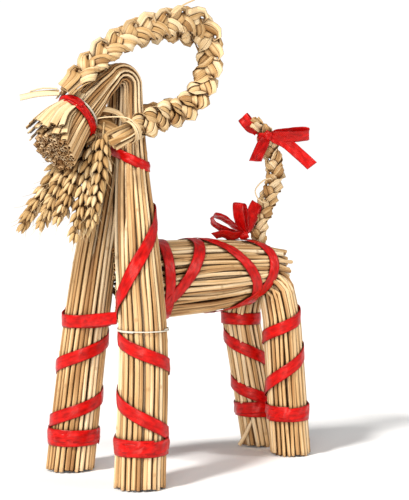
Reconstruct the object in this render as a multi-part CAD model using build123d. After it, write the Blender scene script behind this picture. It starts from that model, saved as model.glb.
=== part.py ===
"""Straw yule goat: tied straw bundles, plaited straw horns and tail, wheat-ear beard, red ribbons.

Millimetres. The goat stands on the plane z = 0 and looks along -Y; its left side is +X.
The origin is under the middle of the goat's bounding box, on the ground.
"""
from build123d import *
import math
import os

os.makedirs("parts", exist_ok=True)

# ---- driving dimensions -------------------------------------------------------------------
crotch_height = 126.0        # where the front legs part, under the chest
neck_top = 332.0             # where the neck straws are folded over into the muzzle
front_foot_spread = 48.6     # middle of the goat to the middle of a front foot
front_foot_y = -78.0
front_leg_radius = 20.0      # straw bundle of a front leg at the crotch
foot_flare = 1.5             # how much wider a bundle is at its cut foot
leg_split = 39.0             # middle of the goat to the middle of a front leg at the crotch
chest_y = -67.0
neck_top_y = -55.0
neck_top_radius = 8.4        # each half of the neck, at the fold
half_gap = 0.2               # clearance between the two halves of the neck

body_axis_height = 161.0
body_front_y = -44.0
body_rear_y = 119.0
body_front_radius = 34.0
body_rear_radius = 27.0
rump_rise = 4.0              # how much higher the body's axis is at the rump than at the chest

rear_foot_spread = 25.1
rear_left_foot_y = 112.2
rear_right_foot_y = 123.9
rear_leg_radius = 17.5
rear_left_top_y = 101.0
rear_right_top_y = 97.0
rear_leg_depth = 8.0         # how far above the body's axis the leg bundle reaches inside it

muzzle_slope = 39.0          # degrees below level
muzzle_start_y = -66.0
muzzle_start_drop = 3.0      # how far below the fold the muzzle's axis starts
muzzle_tie_distance = 49.0
muzzle_length = 86.0
muzzle_root_radius = 14.0
muzzle_tie_radius = 15.0
muzzle_end_radius = 20.0

plait_radius = 9.0           # half of the horn plait's mean width
tail_radius = 7.0
ribbon_width = 10.6
ribbon_thickness = 0.8
ribbon_gap = 0.2             # the ribbon's clearance from the straw under it
thread_radius = 0.6
cut_gap = 0.15               # clearance round a bundle that is let into another one
ear_radius = 6.0
ear_stem_radius = 1.3

# The unit vector across the goat's left front quarter, along which the leg ribbons climb.
QUARTER = Vector(0.65, 0.76, 0)


# ---- geometry helpers ---------------------------------------------------------------------
def upright(stations, grow=0.0):
    """A bundle through level discs, each given as (x, y, z, radius)."""
    return loft([Pos(x, y, z) * Circle(r + grow) for x, y, z, r in stations], ruled=True)


def along(start, direction, stations, grow=0.0):
    """A straight bundle through discs, each given as (distance from the start, radius)."""
    heading = Vector(*direction).normalized()
    origin = Vector(*start)
    discs = [Plane(origin + heading * d, z_dir=heading) * Circle(r + grow) for d, r in stations]
    return loft(discs, ruled=True)


def band(skin, core, centre, normal, width=ribbon_width):
    """The part of the skin outside the core that lies in a slab: one turn of ribbon."""
    slab = Plane(Vector(*centre), z_dir=Vector(*normal)) * Box(300, 300, width)
    return (skin - core) & slab


def tilted(slope):
    """The normal of a turn that drops by slope for each unit across the goat's front quarter."""
    return (slope * QUARTER.X, slope * QUARTER.Y, 1.0)


def corner_radii(points, share=0.45):
    """The largest tangent arcs that the runs of a route leave room for."""
    radii = []
    for a, b, c in zip(points, points[1:], points[2:]):
        run_in = Vector(*b) - Vector(*a)
        run_out = Vector(*c) - Vector(*b)
        turn = math.radians(run_in.get_angle(run_out))
        shorter = min(run_in.length, run_out.length)
        radii.append(share * shorter / math.tan(turn / 2))
    return radii


def tube(points, radius):
    """A round bar along straight runs joined by tangent arcs."""
    path = FilletPolyline(*points, radius=corner_radii(points))
    return sweep(Plane(path @ 0, z_dir=path % 0) * Circle(radius), path=path)


def rod(start, end, radius):
    """A straight round bar between two points."""
    run = Vector(*end) - Vector(*start)
    return Plane(Vector(*start), z_dir=run.normalized()) * Cylinder(
        radius, run.length, align=(Align.CENTER, Align.CENTER, Align.MIN))


def strip(start, end, width, thickness, face=(0, 0, 1)):
    """A flat straight strip between two points, its face turned towards the given direction."""
    run = Vector(*end) - Vector(*start)
    plane = Plane(Vector(*start), x_dir=run.cross(Vector(*face)).normalized(), z_dir=run.normalized())
    return plane * Box(width, thickness, run.length, align=(Align.CENTER, Align.CENTER, Align.MIN))


def bow_loop(knot, tip, height, face):
    """One loop of a bow: a closed ribbon band that starts at the knot and turns round at its tip."""
    run = Vector(*tip) - Vector(*knot)
    half = run.length / 2
    plane = Plane(Vector(*knot) + run * 0.5, x_dir=run.normalized(), z_dir=Vector(*face))
    outline = Ellipse(half, height / 2) - Ellipse(half - ribbon_thickness, height / 2 - ribbon_thickness)
    return plane * extrude(outline, ribbon_width / 2, both=True)


def save(name, shape):
    """Write one piece of the goat to its own file."""
    export_step(shape, f"parts/{name}.step")


# ---- front bundles: each is a front leg that runs on up as one half of the neck --------------
neck_length = neck_top - crotch_height

# Share of the neck's length, distance from the middle of the goat, y, radius.
NECK_STATIONS = [
    (0.00, leg_split, chest_y, front_leg_radius),
    (0.30, 0.72 * leg_split, chest_y + 3.0, 0.92 * front_leg_radius),
    (0.65, 0.65 * front_leg_radius + 1.4, neck_top_y - 3.5, 0.65 * front_leg_radius),
    (0.88, neck_top_radius + 1.0, neck_top_y, neck_top_radius + 0.7),
    (1.00, neck_top_radius + half_gap, neck_top_y, neck_top_radius),
]


def front_stations(side):
    """The level discs of one front bundle, from its foot to the fold; side is +1 for left."""
    foot = (side * front_foot_spread, front_foot_y, 0.0, front_leg_radius + foot_flare)
    return [foot] + [(side * x, y, crotch_height + share * neck_length, r)
                     for share, x, y, r in NECK_STATIONS]


def neck_envelope(grow):
    """The slot-shaped skin around both halves of the neck, from below the crotch upwards."""
    below = 20.0
    slots = [(-below, leg_split + 0.075 * below, chest_y - 0.08 * below, front_leg_radius)]
    slots += [(share * neck_length, x, y, r) for share, x, y, r in NECK_STATIONS]
    outlines = [Pos(0, y, crotch_height + rise) * SlotCenterToCenter(2 * x, 2 * (r + grow))
                for rise, x, y, r in slots]
    return loft(outlines, ruled=True)


front_bundles = {side: upright(front_stations(side)) for side in (1, -1)}

# ---- rear legs: bundles whose tops are bent in and bound into the body ------------------------
rear_feet = {1: rear_left_foot_y, -1: rear_right_foot_y}
rear_tops = {1: rear_left_top_y, -1: rear_right_top_y}


def rear_stations(side):
    """The level discs of one rear leg, from its foot to its end inside the body."""
    foot = (side * rear_foot_spread, rear_feet[side], 0.0, rear_leg_radius + foot_flare)
    under_body = (side * rear_foot_spread, rear_tops[side], crotch_height - 4.0, rear_leg_radius)
    inner = side * (rear_leg_radius + half_gap)
    tucked = (inner, rear_tops[side], body_axis_height - 12.0, rear_leg_radius)
    top_radius = 0.62 * rear_leg_radius
    top = (side * (top_radius + half_gap), rear_tops[side], body_axis_height + rear_leg_depth, top_radius)
    return [foot, under_body, tucked, top]


rear_bundles = {side: upright(rear_stations(side)) for side in (1, -1)}

# ---- body bundle ----------------------------------------------------------------------------
body_length = body_rear_y - body_front_y
body_heading = (0.0, body_length, rump_rise)
body_start = (0.0, body_front_y, body_axis_height)
body_true_length = Vector(*body_heading).length
BODY_STATIONS = [
    (0.0, body_front_radius),
    (0.45 * body_true_length, 0.96 * body_front_radius),
    (0.78 * body_true_length, 1.03 * body_rear_radius),
    (body_true_length, 0.80 * body_rear_radius),
]


def body_skin(grow=0.0):
    """The body's tapered outer shape, grown outwards."""
    return along(body_start, body_heading, BODY_STATIONS, grow)


tongue_half_width = 0.21 * leg_split
tongue_reach = 0.9 * (body_front_y - chest_y + front_leg_radius)
tongue = Pos(0, body_front_y, body_axis_height) * Box(
    2 * tongue_half_width, tongue_reach, 1.6 * body_front_radius, align=(Align.CENTER, Align.MAX, Align.CENTER))
body = body_skin() + tongue
for side in (1, -1):
    body -= upright(front_stations(side), cut_gap)
    body -= upright(rear_stations(side), cut_gap)

# ---- muzzle: the folded ends of both front bundles, tied and cut ------------------------------
slope = math.radians(muzzle_slope)
muzzle_heading = (0.0, -math.cos(slope), -math.sin(slope))
muzzle_start_z = neck_top - muzzle_start_drop
muzzle_origin = (0.0, muzzle_start_y, muzzle_start_z)
MUZZLE_STATIONS = [
    (0.0, muzzle_root_radius),
    (muzzle_tie_distance, muzzle_tie_radius),
    (muzzle_length, muzzle_end_radius),
]


def on_muzzle(distance, lift=0.0, across=0.0):
    """A point at a distance down the muzzle's axis, lifted square to it and moved across it."""
    y = muzzle_start_y - distance * math.cos(slope) - lift * math.sin(slope)
    z = muzzle_start_z - distance * math.sin(slope) + lift * math.cos(slope)
    return (across, y, z)


# ---- plaits -----------------------------------------------------------------------------------
def beside_neck(drop, clearance):
    """How far out a plait runs to pass the neck's side, at a drop below the fold."""
    share = (neck_length - drop) / neck_length
    reach = 0.0
    for (low, x0, _, r0), (high, x1, _, r1) in zip(NECK_STATIONS, NECK_STATIONS[1:]):
        if low <= share <= high:
            reach = x0 + r0 + (x1 + r1 - x0 - r0) * (share - low) / (high - low)
    return reach + plait_radius + clearance


horn_root_x = plait_radius + 0.5
HORN_END_DROP = 46.0         # from the fold down to the tied ends of the horns
LEFT_HORN_ROUTE = [          # x, y, height above the fold
    (horn_root_x, -106.0, -1.0),
    (horn_root_x + 1.0, -87.0, 18.0),
    (14.0, -59.0, 34.0),
    (17.0, -26.0, 45.0),
    (19.0, 6.0, 51.0),
    (20.0, 21.0, 38.0),
    (20.0, 21.0, 11.0),
    (22.0, 9.0, -13.0),
    (26.0, -16.0, -29.0),
    (beside_neck(36.0, 1.4), -46.0, -36.0),
    (beside_neck(HORN_END_DROP, 0.5), -74.0, -HORN_END_DROP),
]
RIGHT_HORN_ROUTE = [
    (-horn_root_x, -102.0, -4.0),
    (-horn_root_x - 1.0, -80.0, 15.0),
    (-13.0, -47.0, 32.0),
    (-13.5, -12.0, 43.0),
    (-13.0, 22.0, 47.0),
    (-12.5, 42.0, 36.0),
    (-12.5, 46.0, 11.0),
    (-15.0, 34.0, -15.0),
    (-22.0, 5.0, -29.0),
    (-beside_neck(35.0, 1.4), -36.0, -35.0),
    (-beside_neck(HORN_END_DROP, 1.5), -72.0, -HORN_END_DROP),
]
for route in (LEFT_HORN_ROUTE, RIGHT_HORN_ROUTE):
    route[:] = [(x, y, neck_top + rise) for x, y, rise in route]
TAIL_ROUTE = [
    (0.0, 98.0, body_axis_height + 32.0),
    (0.0, 97.0, body_axis_height + 45.0),
    (0.0, 110.0, body_axis_height + 71.0),
    (0.0, 117.5, body_axis_height + 92.0),
    (0.0, 110.0, body_axis_height + 113.0),
    (0.0, 98.0, body_axis_height + 134.0),
    (0.0, 84.0, body_axis_height + 141.0),
]
left_horn = tube(LEFT_HORN_ROUTE, plait_radius)
right_horn = tube(RIGHT_HORN_ROUTE, plait_radius)
tail = tube(TAIL_ROUTE, tail_radius)

muzzle = along(muzzle_origin, muzzle_heading, MUZZLE_STATIONS)
for side in (1, -1):
    muzzle -= upright(front_stations(side), cut_gap)
muzzle -= tube(LEFT_HORN_ROUTE, plait_radius + cut_gap)
muzzle -= tube(RIGHT_HORN_ROUTE, plait_radius + cut_gap)

for name, shape in (("front_left_bundle", front_bundles[1]), ("front_right_bundle", front_bundles[-1]),
                    ("rear_left_bundle", rear_bundles[1]), ("rear_right_bundle", rear_bundles[-1]),
                    ("body_bundle", body), ("muzzle_bundle", muzzle),
                    ("left_horn_plait", left_horn), ("right_horn_plait", right_horn),
                    ("tail_plait", tail)):
    save(name, shape)

# ---- butts of the horn straws, fanned out over the muzzle ------------------------------------
FAN_SIZES = ((muzzle_tie_distance + 6.0, muzzle_tie_radius + 4.0, 20.0, 4.0),
             (muzzle_length - 5.0, muzzle_end_radius + 3.2, 40.0, 5.0))
fan_ends = [Plane(Vector(*on_muzzle(distance, lift)), x_dir=(1, 0, 0), z_dir=muzzle_heading)
            * Ellipse(width / 2, thickness / 2) for distance, lift, width, thickness in FAN_SIZES]
save("horn_straw_fan", loft(fan_ends, ruled=True))

# ---- beard: wheat ears on their stems, hung from the muzzle tie ---------------------------------
ear_root = on_muzzle(muzzle_tie_distance - 9.0, -muzzle_tie_radius - 3.0)
EAR_TIPS = {                     # name: (tip below the fold, x of the stem's upper end, how far behind it is)
    "wheat_ear_1": ((-34.0, -136.0, -126.0), -22.0, 0.0),
    "wheat_ear_2": ((-17.0, -128.0, -124.0), -11.0, 0.0),
    "wheat_ear_3": ((1.0, -124.0, -120.0), 0.0, 0.0),
    "wheat_ear_4": ((17.0, -119.0, -133.0), 11.0, 0.0),
    "wheat_ear_5": ((33.0, -107.0, -120.0), 22.0, 0.0),
    "wheat_ear_6": ((8.0, -101.0, -128.0), 3.0, 9.0),
}
EAR_SHARES = ((0.28, 0.25), (0.42, 1.0), (0.72, 0.95), (1.0, 0.3))
for name, (tip, root_x, behind) in EAR_TIPS.items():
    root = Vector(root_x, ear_root[1] + behind, ear_root[2])
    run = Vector(0, 0, neck_top) + Vector(*tip) - root
    head = along(root, run, [(share * run.length, scale * ear_radius) for share, scale in EAR_SHARES])
    stem = along(root, run, [(0.0, ear_stem_radius), (0.3 * run.length, ear_stem_radius)])
    save(name, stem + head)

# ---- ribbons round the neck and chest ----------------------------------------------------------
ribbon_outer = ribbon_gap + ribbon_thickness
neck_skin = neck_envelope(ribbon_outer)
neck_core = neck_envelope(ribbon_gap)
upper_neck = band(neck_skin, neck_core, (0, neck_top_y - 3, neck_top - 66.0), tilted(0.5))
chest_back = Vector(0, neck_top_y + 10, crotch_height + 0.47 * neck_length)
chest_front = Vector(0, chest_y - front_leg_radius, crotch_height + 7.0)
chest_run = chest_back - chest_front
chest = band(neck_skin, neck_core, (chest_back + chest_front) * 0.5, (0, -chest_run.Z, chest_run.Y))
chest -= body_skin(cut_gap)
save("upper_neck_ribbon", upper_neck)
save("chest_ribbon", chest)

# ---- ribbons wound round the legs ------------------------------------------------------------
def leg_ribbon(stations, turns):
    """The turns of one leg ribbon; each turn is (height on the leg, slope)."""
    skin = upright(stations, ribbon_outer)
    core = upright(stations, ribbon_gap)
    foot, top = stations[0], stations[1]
    rings = []
    for height, fall in turns:
        share = height / top[2]
        centre = (foot[0] + share * (top[0] - foot[0]), foot[1] + share * (top[1] - foot[1]), height)
        rings.append(band(skin, core, centre, tilted(fall)))
    whole = rings[0]
    for ring in rings[1:]:
        whole += ring
    return whole - chest


front_turns = ((crotch_height - 1.1 * front_leg_radius, 0.55), (54.0, 0.62), (27.0, 0.25))
rear_turns = ((100.0, 0.55), (58.0, 0.60), (27.0, 0.25))
for side, label in ((1, "left"), (-1, "right")):
    front = [(height, side * fall) for height, fall in front_turns]
    rear = [(height, -side * fall) for height, fall in rear_turns]
    save(f"front_{label}_leg_ribbon", leg_ribbon(front_stations(side)[:2], front))
    save(f"rear_{label}_leg_ribbon", leg_ribbon(rear_stations(side)[:2], rear))

# ---- one ribbon criss-crossed round the body ---------------------------------------------------
BODY_TURNS = (               # y where the turn crosses the back, then its normal
    (-20.0, (0.41, 1.0, 0.0)),
    (15.0, (0.0, 1.0, -0.95)),
    (24.0, (-0.6, 1.0, 0.7)),
    (76.0, (-1.2, 1.0, -1.1)),
)
body_ribbon_skin = body_skin(ribbon_outer)
body_ribbon_core = body_skin(ribbon_gap)
body_ribbon = None
for y, normal in BODY_TURNS:
    turn = band(body_ribbon_skin, body_ribbon_core, (0, y, body_axis_height + body_front_radius), normal)
    body_ribbon = turn if body_ribbon is None else body_ribbon + turn
for side in (1, -1):
    body_ribbon -= upright(front_stations(side), cut_gap)
    body_ribbon -= upright(rear_stations(side), cut_gap)
body_ribbon -= neck_envelope(ribbon_outer + cut_gap)
save("body_ribbon", body_ribbon)

# ---- ribbon and thread that tie the muzzle -------------------------------------------------------
tie_centre = on_muzzle(muzzle_tie_distance)
muzzle_skin = along(muzzle_origin, muzzle_heading, MUZZLE_STATIONS, ribbon_outer)
muzzle_core = along(muzzle_origin, muzzle_heading, MUZZLE_STATIONS, ribbon_gap)
save("muzzle_ribbon", band(muzzle_skin, muzzle_core, tie_centre, muzzle_heading, 0.8 * ribbon_width))
thread_centre = on_muzzle(muzzle_tie_distance - 9.0)
thread_ring = band(muzzle_skin, muzzle_core, thread_centre, muzzle_heading, 2 * thread_radius)
horns_cut = tube(LEFT_HORN_ROUTE, plait_radius + cut_gap) + tube(RIGHT_HORN_ROUTE, plait_radius + cut_gap)
save("muzzle_thread", thread_ring - horns_cut)

# ---- raffia that ties each horn's end to the neck ------------------------------------------------
for side, route in ((1, LEFT_HORN_ROUTE), (-1, RIGHT_HORN_ROUTE)):
    end, before = Vector(*route[-1]), Vector(*route[-2])
    heading = (end - before).normalized()
    spot = end - heading * 12.0
    hoop = Plane(spot, z_dir=heading) * (Circle(plait_radius + ribbon_outer) - Circle(plait_radius + ribbon_gap))
    raffia = extrude(hoop, 3.0, dir=heading) - upright(front_stations(side), cut_gap)
    save("left_horn_raffia" if side == 1 else "right_horn_raffia", raffia)

# ---- thin thread round the top of the near front leg ----------------------------------------------
leg = front_stations(1)[:2]
thread_height = crotch_height - 2.5
thread = band(upright(leg, 2 * thread_radius + ribbon_gap), upright(leg, ribbon_gap),
              (leg_split, chest_y, thread_height), (0, 0, 1), 2 * thread_radius)
save("front_left_leg_thread", thread - chest)

# ---- bows -------------------------------------------------------------------------------------------
back_knot = (0.0, 76.0, body_axis_height + 41.0)
back_bow = Pos(*back_knot) * Box(9.0, 9.0, 8.0)
BACK_LOOPS = (               # tip: x, y, height above the body's axis; then the loop's height
    ((0.0, 40.0, 53.0), 15.0),
    ((0.0, 76.0, 71.0), 12.0),
    ((-8.0, 88.0, 67.0), 10.0),
)
for (x, y, rise), height in BACK_LOOPS:
    back_bow += bow_loop(back_knot, (x, y, body_axis_height + rise), height, (1, 0, 0))
back_tail = (0.0, 44.0, body_axis_height + 40.0)
back_bow += strip(back_knot, back_tail, ribbon_width, ribbon_thickness)
save("back_bow", back_bow)

tail_knot = (tail_radius + 6.0, 104.0, body_axis_height + 125.0)
tail_bow = Pos(*tail_knot) * Box(7.0, 9.0, 9.0)
TAIL_LOOPS = (((30.0, 130.0, 126.0), 13.0), ((16.0, 76.0, 151.0), 10.0))
for (x, y, rise), height in TAIL_LOOPS:
    tail_bow += bow_loop(tail_knot, (x, y, body_axis_height + rise), height, (0.76, -0.65, 0))
for x, y, rise in ((34.0, 137.0, 101.0), (14.0, 80.0, 103.0)):
    end = (x, y, body_axis_height + rise)
    tail_bow += strip(tail_knot, end, ribbon_width, ribbon_thickness, (0.76, -0.65, 0))
tail_bow -= tube(TAIL_ROUTE, tail_radius + cut_gap)
save("tail_bow", tail_bow)

# ---- loose straws, and a split straw that has sprung out of the tail in a loop ------------------------
flat_start = on_muzzle(muzzle_tie_distance + 1.0, muzzle_tie_radius + 10.0, -4.0)
save("muzzle_flat_straw", strip(flat_start, (-26.0, -141.0, neck_top - 20.0), 5.0, 1.0))
thin_start = on_muzzle(muzzle_tie_distance + 1.0, muzzle_tie_radius + 14.0, -4.0)
save("muzzle_thin_straw", rod(thin_start, (-22.0, -134.0, neck_top - 15.0), thread_radius))
save("horn_stray_straw", strip((27.5, -26.0, neck_top + 51.0), (22.0, 1.0, neck_top + 65.0), 3.5, 1.0))
loop_radius = 8.0
loop_centre = Vector(tail_radius + thread_radius + 1.0, 92.0, body_axis_height + 76.0)
save("tail_stray_fibre", Plane(loop_centre, z_dir=(1, 0, 0)) * Torus(loop_radius, thread_radius))

print("plait bend radii", [round(r, 1) for r in corner_radii(LEFT_HORN_ROUTE)])
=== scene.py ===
# %% [markdown]
# # A straw yule goat
# The goat is made the way a craftsman makes it: hundreds of dry straws are laid together in bundles,
# folded, and bound with ribbon and thread. The plain CAD bundles give every size and place, and each
# one is replaced here by its real straws, plaits, ears and ribbons. Lengths are in millimetres while we
# work, and become metres (Blender's unit) when a mesh is made.

# %% Load the goat's frame
import math

import bpy
import numpy as np
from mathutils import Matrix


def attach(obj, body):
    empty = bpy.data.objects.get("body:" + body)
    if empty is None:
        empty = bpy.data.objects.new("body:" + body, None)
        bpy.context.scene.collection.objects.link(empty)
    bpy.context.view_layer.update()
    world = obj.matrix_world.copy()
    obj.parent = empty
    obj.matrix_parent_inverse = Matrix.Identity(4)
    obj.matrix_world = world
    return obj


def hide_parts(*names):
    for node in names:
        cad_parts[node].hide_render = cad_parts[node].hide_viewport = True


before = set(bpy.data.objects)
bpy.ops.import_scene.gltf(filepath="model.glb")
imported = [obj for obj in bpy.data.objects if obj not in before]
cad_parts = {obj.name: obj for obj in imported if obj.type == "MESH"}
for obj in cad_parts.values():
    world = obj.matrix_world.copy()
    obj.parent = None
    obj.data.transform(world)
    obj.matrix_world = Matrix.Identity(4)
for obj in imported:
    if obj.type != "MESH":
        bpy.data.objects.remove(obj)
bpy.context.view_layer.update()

MM = 0.001
print("bundles and trim in the frame:", len(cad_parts))


# %% [markdown]
# ## Looking at it
# A straw goat stands on a pale table in soft light. A broad sun high on the left gives the straws their
# bright ridges and dark gaps, a low one near the camera softens the shade, a weak one from the right
# draws the edges, and a plain white world opens the shadows. The camera is a short telephoto, a little
# above the middle of the goat, looking at its left front quarter. The plain Standard view keeps straw
# yellow and ribbon red as they are mixed.

# %% Camera, lamps and table
CAMERA_PLACE = (0.931, -0.7661, 0.2422)
CAMERA_TARGET = (0.0578, -0.0177, 0.1888)
CAMERA_LENS, SENSOR_HEIGHT = 67.5, 24.0
SUNS = (                     # name, way that it shines from, strength, softness in degrees, colour
    ("key_sun", (0.12, -0.85, 0.98), 3.4, 8.0, (1.0, 0.975, 0.94)),
    ("fill_sun", (0.60, -0.76, 0.20), 1.5, 20.0, (1.0, 0.97, 0.93)),
    ("rim_sun", (0.75, 0.55, 0.55), 0.9, 25.0, (1.0, 0.98, 0.95)),
)
WORLD_SEEN, WORLD_LIGHT = 1.05, 0.36
TABLE_REACH, TABLE_DROP = 6.0, 0.0003
TABLE_COLOUR = (0.93, 0.93, 0.93, 1)


def place_object(name, data):
    """An object that holds this data, linked into the scene."""
    thing = bpy.data.objects.new(name, data)
    bpy.context.scene.collection.objects.link(thing)
    return thing


def new_paint(name):
    """A new material, its node tree and its shader."""
    paint = bpy.data.materials.new(name)
    paint.use_nodes = True
    return paint, paint.node_tree, paint.node_tree.nodes["Principled BSDF"]


def aim(thing, target):
    """Turn a camera or a lamp so that it looks at a point."""
    way = np.array(target) - np.array(thing.location)
    thing.rotation_euler = (math.atan2(math.hypot(way[0], way[1]), -way[2]), 0, math.atan2(-way[0], way[1]))


def add_camera():
    data = bpy.data.cameras.new("goat_camera")
    data.sensor_fit = "VERTICAL"
    data.sensor_height = SENSOR_HEIGHT
    data.lens = CAMERA_LENS
    camera = place_object("goat_camera", data)
    camera.location = CAMERA_PLACE
    aim(camera, CAMERA_TARGET)
    bpy.context.scene.camera = camera


def add_sun(name, way_from, strength, softness, colour):
    """A sun lamp that shines from a direction."""
    data = bpy.data.lights.new(name, "SUN")
    data.energy = strength
    data.angle = math.radians(softness)
    data.color = colour
    lamp = place_object(name, data)
    lamp.location = way_from
    aim(lamp, (0.0, 0.0, 0.0))


def plain_world(seen, strength):
    """A white backdrop to look at, which lights the goat less strongly than it looks."""
    world = bpy.data.worlds.new("plain_world")
    world.use_nodes = True
    tree = world.node_tree
    sky = tree.nodes["Background"]
    sky.inputs["Color"].default_value = (1.0, 1.0, 1.0, 1.0)
    rays = tree.nodes.new("ShaderNodeLightPath")
    choice = tree.nodes.new("ShaderNodeMix")
    choice.inputs[2].default_value = strength
    choice.inputs[3].default_value = seen
    tree.links.new(rays.outputs["Is Camera Ray"], choice.inputs[0])
    tree.links.new(choice.outputs[0], sky.inputs["Strength"])
    bpy.context.scene.world = world


def add_table():
    data = bpy.data.meshes.new("table_top")
    corners = ((-1, -1), (1, -1), (1, 1), (-1, 1))
    data.from_pydata([(x * TABLE_REACH, y * TABLE_REACH, 0) for x, y in corners], [], [(0, 1, 2, 3)])
    table = place_object("table_top", data)
    table.location.z = -TABLE_DROP
    paint, _, shader = new_paint("pale_table")
    shader.inputs["Base Color"].default_value = TABLE_COLOUR
    shader.inputs["Roughness"].default_value = 0.6
    data.materials.append(paint)


add_camera()
for sun in SUNS:
    add_sun(*sun)
plain_world(WORLD_SEEN, WORLD_LIGHT)
add_table()
bpy.context.scene.view_settings.view_transform = "Standard"
print("camera and", len(SUNS), "lamps are set")


# %% [markdown]
# ## Shader groups
# Every dry plant part on the goat shows the same two things: fine fibres that run along the stem, and
# dark weather specks. Each is a node group, so that straw, plait, wheat and raffia can share it with
# their own values. The groups read three attributes that the meshes carry: `rim` (where a point sits
# round the stem), `along` (how far along it is) and `shade` (a random number for each stem).

# %% Node helpers
FLOAT, VECTOR, GEOMETRY = "NodeSocketFloat", "NodeSocketVector", "NodeSocketGeometry"


def node(tree, kind, links=None, **settings):
    """Add a node, set its properties, and fill its inputs by name with values or other sockets."""
    made = tree.nodes.new(kind)
    for key, value in settings.items():
        setattr(made, key, value)
    for key, value in (links or {}).items():
        if isinstance(value, bpy.types.NodeSocket):
            tree.links.new(value, made.inputs[key])
        else:
            made.inputs[key].default_value = value
    return made


def maths(tree, operation, a, b=0.0, c=0.0):
    """A Math node's result."""
    return node(tree, "ShaderNodeMath", {0: a, 1: b, 2: c}, operation=operation).outputs[0]


def xyz(tree, x, y, z=0.0):
    """A vector made of three numbers or sockets."""
    return node(tree, "ShaderNodeCombineXYZ", {0: x, 1: y, 2: z}).outputs[0]


def noise(tree, place, scale, detail, roughness=0.5):
    """Soft noise, read at a place."""
    made = node(tree, "ShaderNodeTexNoise", {"Vector": place, "Scale": scale, "Detail": detail,
                                             "Roughness": roughness})
    return made.outputs["Fac"]


def fit_range(tree, value, low, high, to_low=0.0, to_high=1.0):
    """A Map Range node's result."""
    made = node(tree, "ShaderNodeMapRange", {"Value": value, "From Min": low, "From Max": high,
                                             "To Min": to_low, "To Max": to_high})
    return made.outputs["Result"]


def new_group(name, inputs, outputs, kind="ShaderNodeTree"):
    """An empty node group with its sockets."""
    tree = bpy.data.node_groups.new(name, kind)
    for label, socket_type, value in inputs:
        socket = tree.interface.new_socket(label, in_out="INPUT", socket_type=socket_type)
        if value is not None:
            socket.default_value = value
    for label, socket_type in outputs:
        tree.interface.new_socket(label, in_out="OUTPUT", socket_type=socket_type)
    return tree, tree.nodes.new("NodeGroupInput"), tree.nodes.new("NodeGroupOutput")


def use_group(tree, group, links):
    """Place a node group in a tree."""
    return node(tree, "ShaderNodeGroup", links, node_tree=group)


STEM_INPUTS = [("Rim", VECTOR, None), ("Along", FLOAT, 0.0), ("Shade", FLOAT, 0.0)]


def stem_place(tree, start, offset, stretch):
    """A point's place in noise: round its stem and along it, and an offset of the stem's own."""
    split = node(tree, "ShaderNodeSeparateXYZ", {0: start.outputs["Rim"]})
    own = maths(tree, "MULTIPLY", start.outputs["Shade"], offset)
    far = maths(tree, "MULTIPLY_ADD", start.outputs["Along"], stretch, own)
    return xyz(tree, split.outputs[0], split.outputs[1], far), own


# %% Fibres that run along a stem
def fibre_group():
    tree, start, end = new_group("stem_fibres", STEM_INPUTS + [("Fineness", FLOAT, 4.0)],
                                 [("Fibre", FLOAT), ("Streak", FLOAT)])
    place, _ = stem_place(tree, start, 53.0, 9.0)
    fine = noise(tree, place, start.outputs["Fineness"], 3.0, 0.6)
    tree.links.new(fine, end.inputs["Fibre"])
    tree.links.new(noise(tree, place, 1.1, 2.0), end.inputs["Streak"])
    return tree


STEM_FIBRES = fibre_group()


# %% Weather specks and pale patches
def speck_group():
    tree, start, end = new_group("weather_specks", STEM_INPUTS + [("Amount", FLOAT, 0.3)],
                                 [("Speck", FLOAT), ("Patch", FLOAT)])
    place, own = stem_place(tree, start, 91.0, 140.0)
    limit = maths(tree, "SUBTRACT", 0.78, maths(tree, "MULTIPLY", start.outputs["Amount"], 0.3))
    speck = fit_range(tree, noise(tree, place, 1.3, 3.0), limit, maths(tree, "ADD", limit, 0.08))
    wide = maths(tree, "MULTIPLY_ADD", start.outputs["Along"], 22.0, own)
    tree.links.new(speck, end.inputs["Speck"])
    tree.links.new(noise(tree, xyz(tree, own, wide), 1.0, 1.0), end.inputs["Patch"])
    return tree


WEATHER_SPECKS = speck_group()
print("shader groups:", STEM_FIBRES.name, WEATHER_SPECKS.name)


# %% [markdown]
# ## Straw finish
# Ripe rye straw is a waxy golden tube: each stem has its own tone between cream and brown, with fine
# fibres, darker joints (knuckles) and a few specks. In the gaps between stems every finish turns its colour
# to a deep brown of painted shade. One function builds all the plant finishes from the two groups, so a
# plait, a wheat husk or a raffia tie only differs in its colours and its gloss.

# %% Build the plant finishes
def attribute(tree, name):
    """The sockets of a mesh attribute: vector and value."""
    made = node(tree, "ShaderNodeAttribute", attribute_name=name)
    return made.outputs["Vector"], made.outputs["Fac"]


def colour_ramp(tree, value, stops):
    """A colour ramp through (place, (r, g, b)) stops."""
    made = node(tree, "ShaderNodeValToRGB", {"Fac": value})
    ramp = made.color_ramp
    while len(ramp.elements) < len(stops):
        ramp.elements.new(0.5)
    for element, (place, colour) in zip(ramp.elements, stops):
        element.position = place
        element.color = (*colour, 1.0)
    return made.outputs["Color"]


def mix_colour(tree, share, first, second, blend="MIX"):
    """A colour Mix node's result; first and second are sockets or (r, g, b)."""
    first, second = ((*colour, 1.0) if isinstance(colour, tuple) else colour for colour in (first, second))
    made = node(tree, "ShaderNodeMix", {0: share, 6: first, 7: second}, data_type="RGBA", blend_type=blend)
    return made.outputs[2]


def add_relief(tree, shader, height, strength, depth):
    """Shade a surface as if it had fine relief, up to depth metres high."""
    relief = node(tree, "ShaderNodeBump", {"Height": height, "Strength": strength, "Distance": depth})
    tree.links.new(relief.outputs["Normal"], shader.inputs["Normal"])


PAINTED_GAP_SHADE = (0.10, 0.029, 0.003)      # painted shade: the deep brown that the colour turns to in the gaps between the stems
PAINTED_SHADE_REACH = 0.008                     # how near a neighbour must be for the painted shade, in metres


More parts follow.
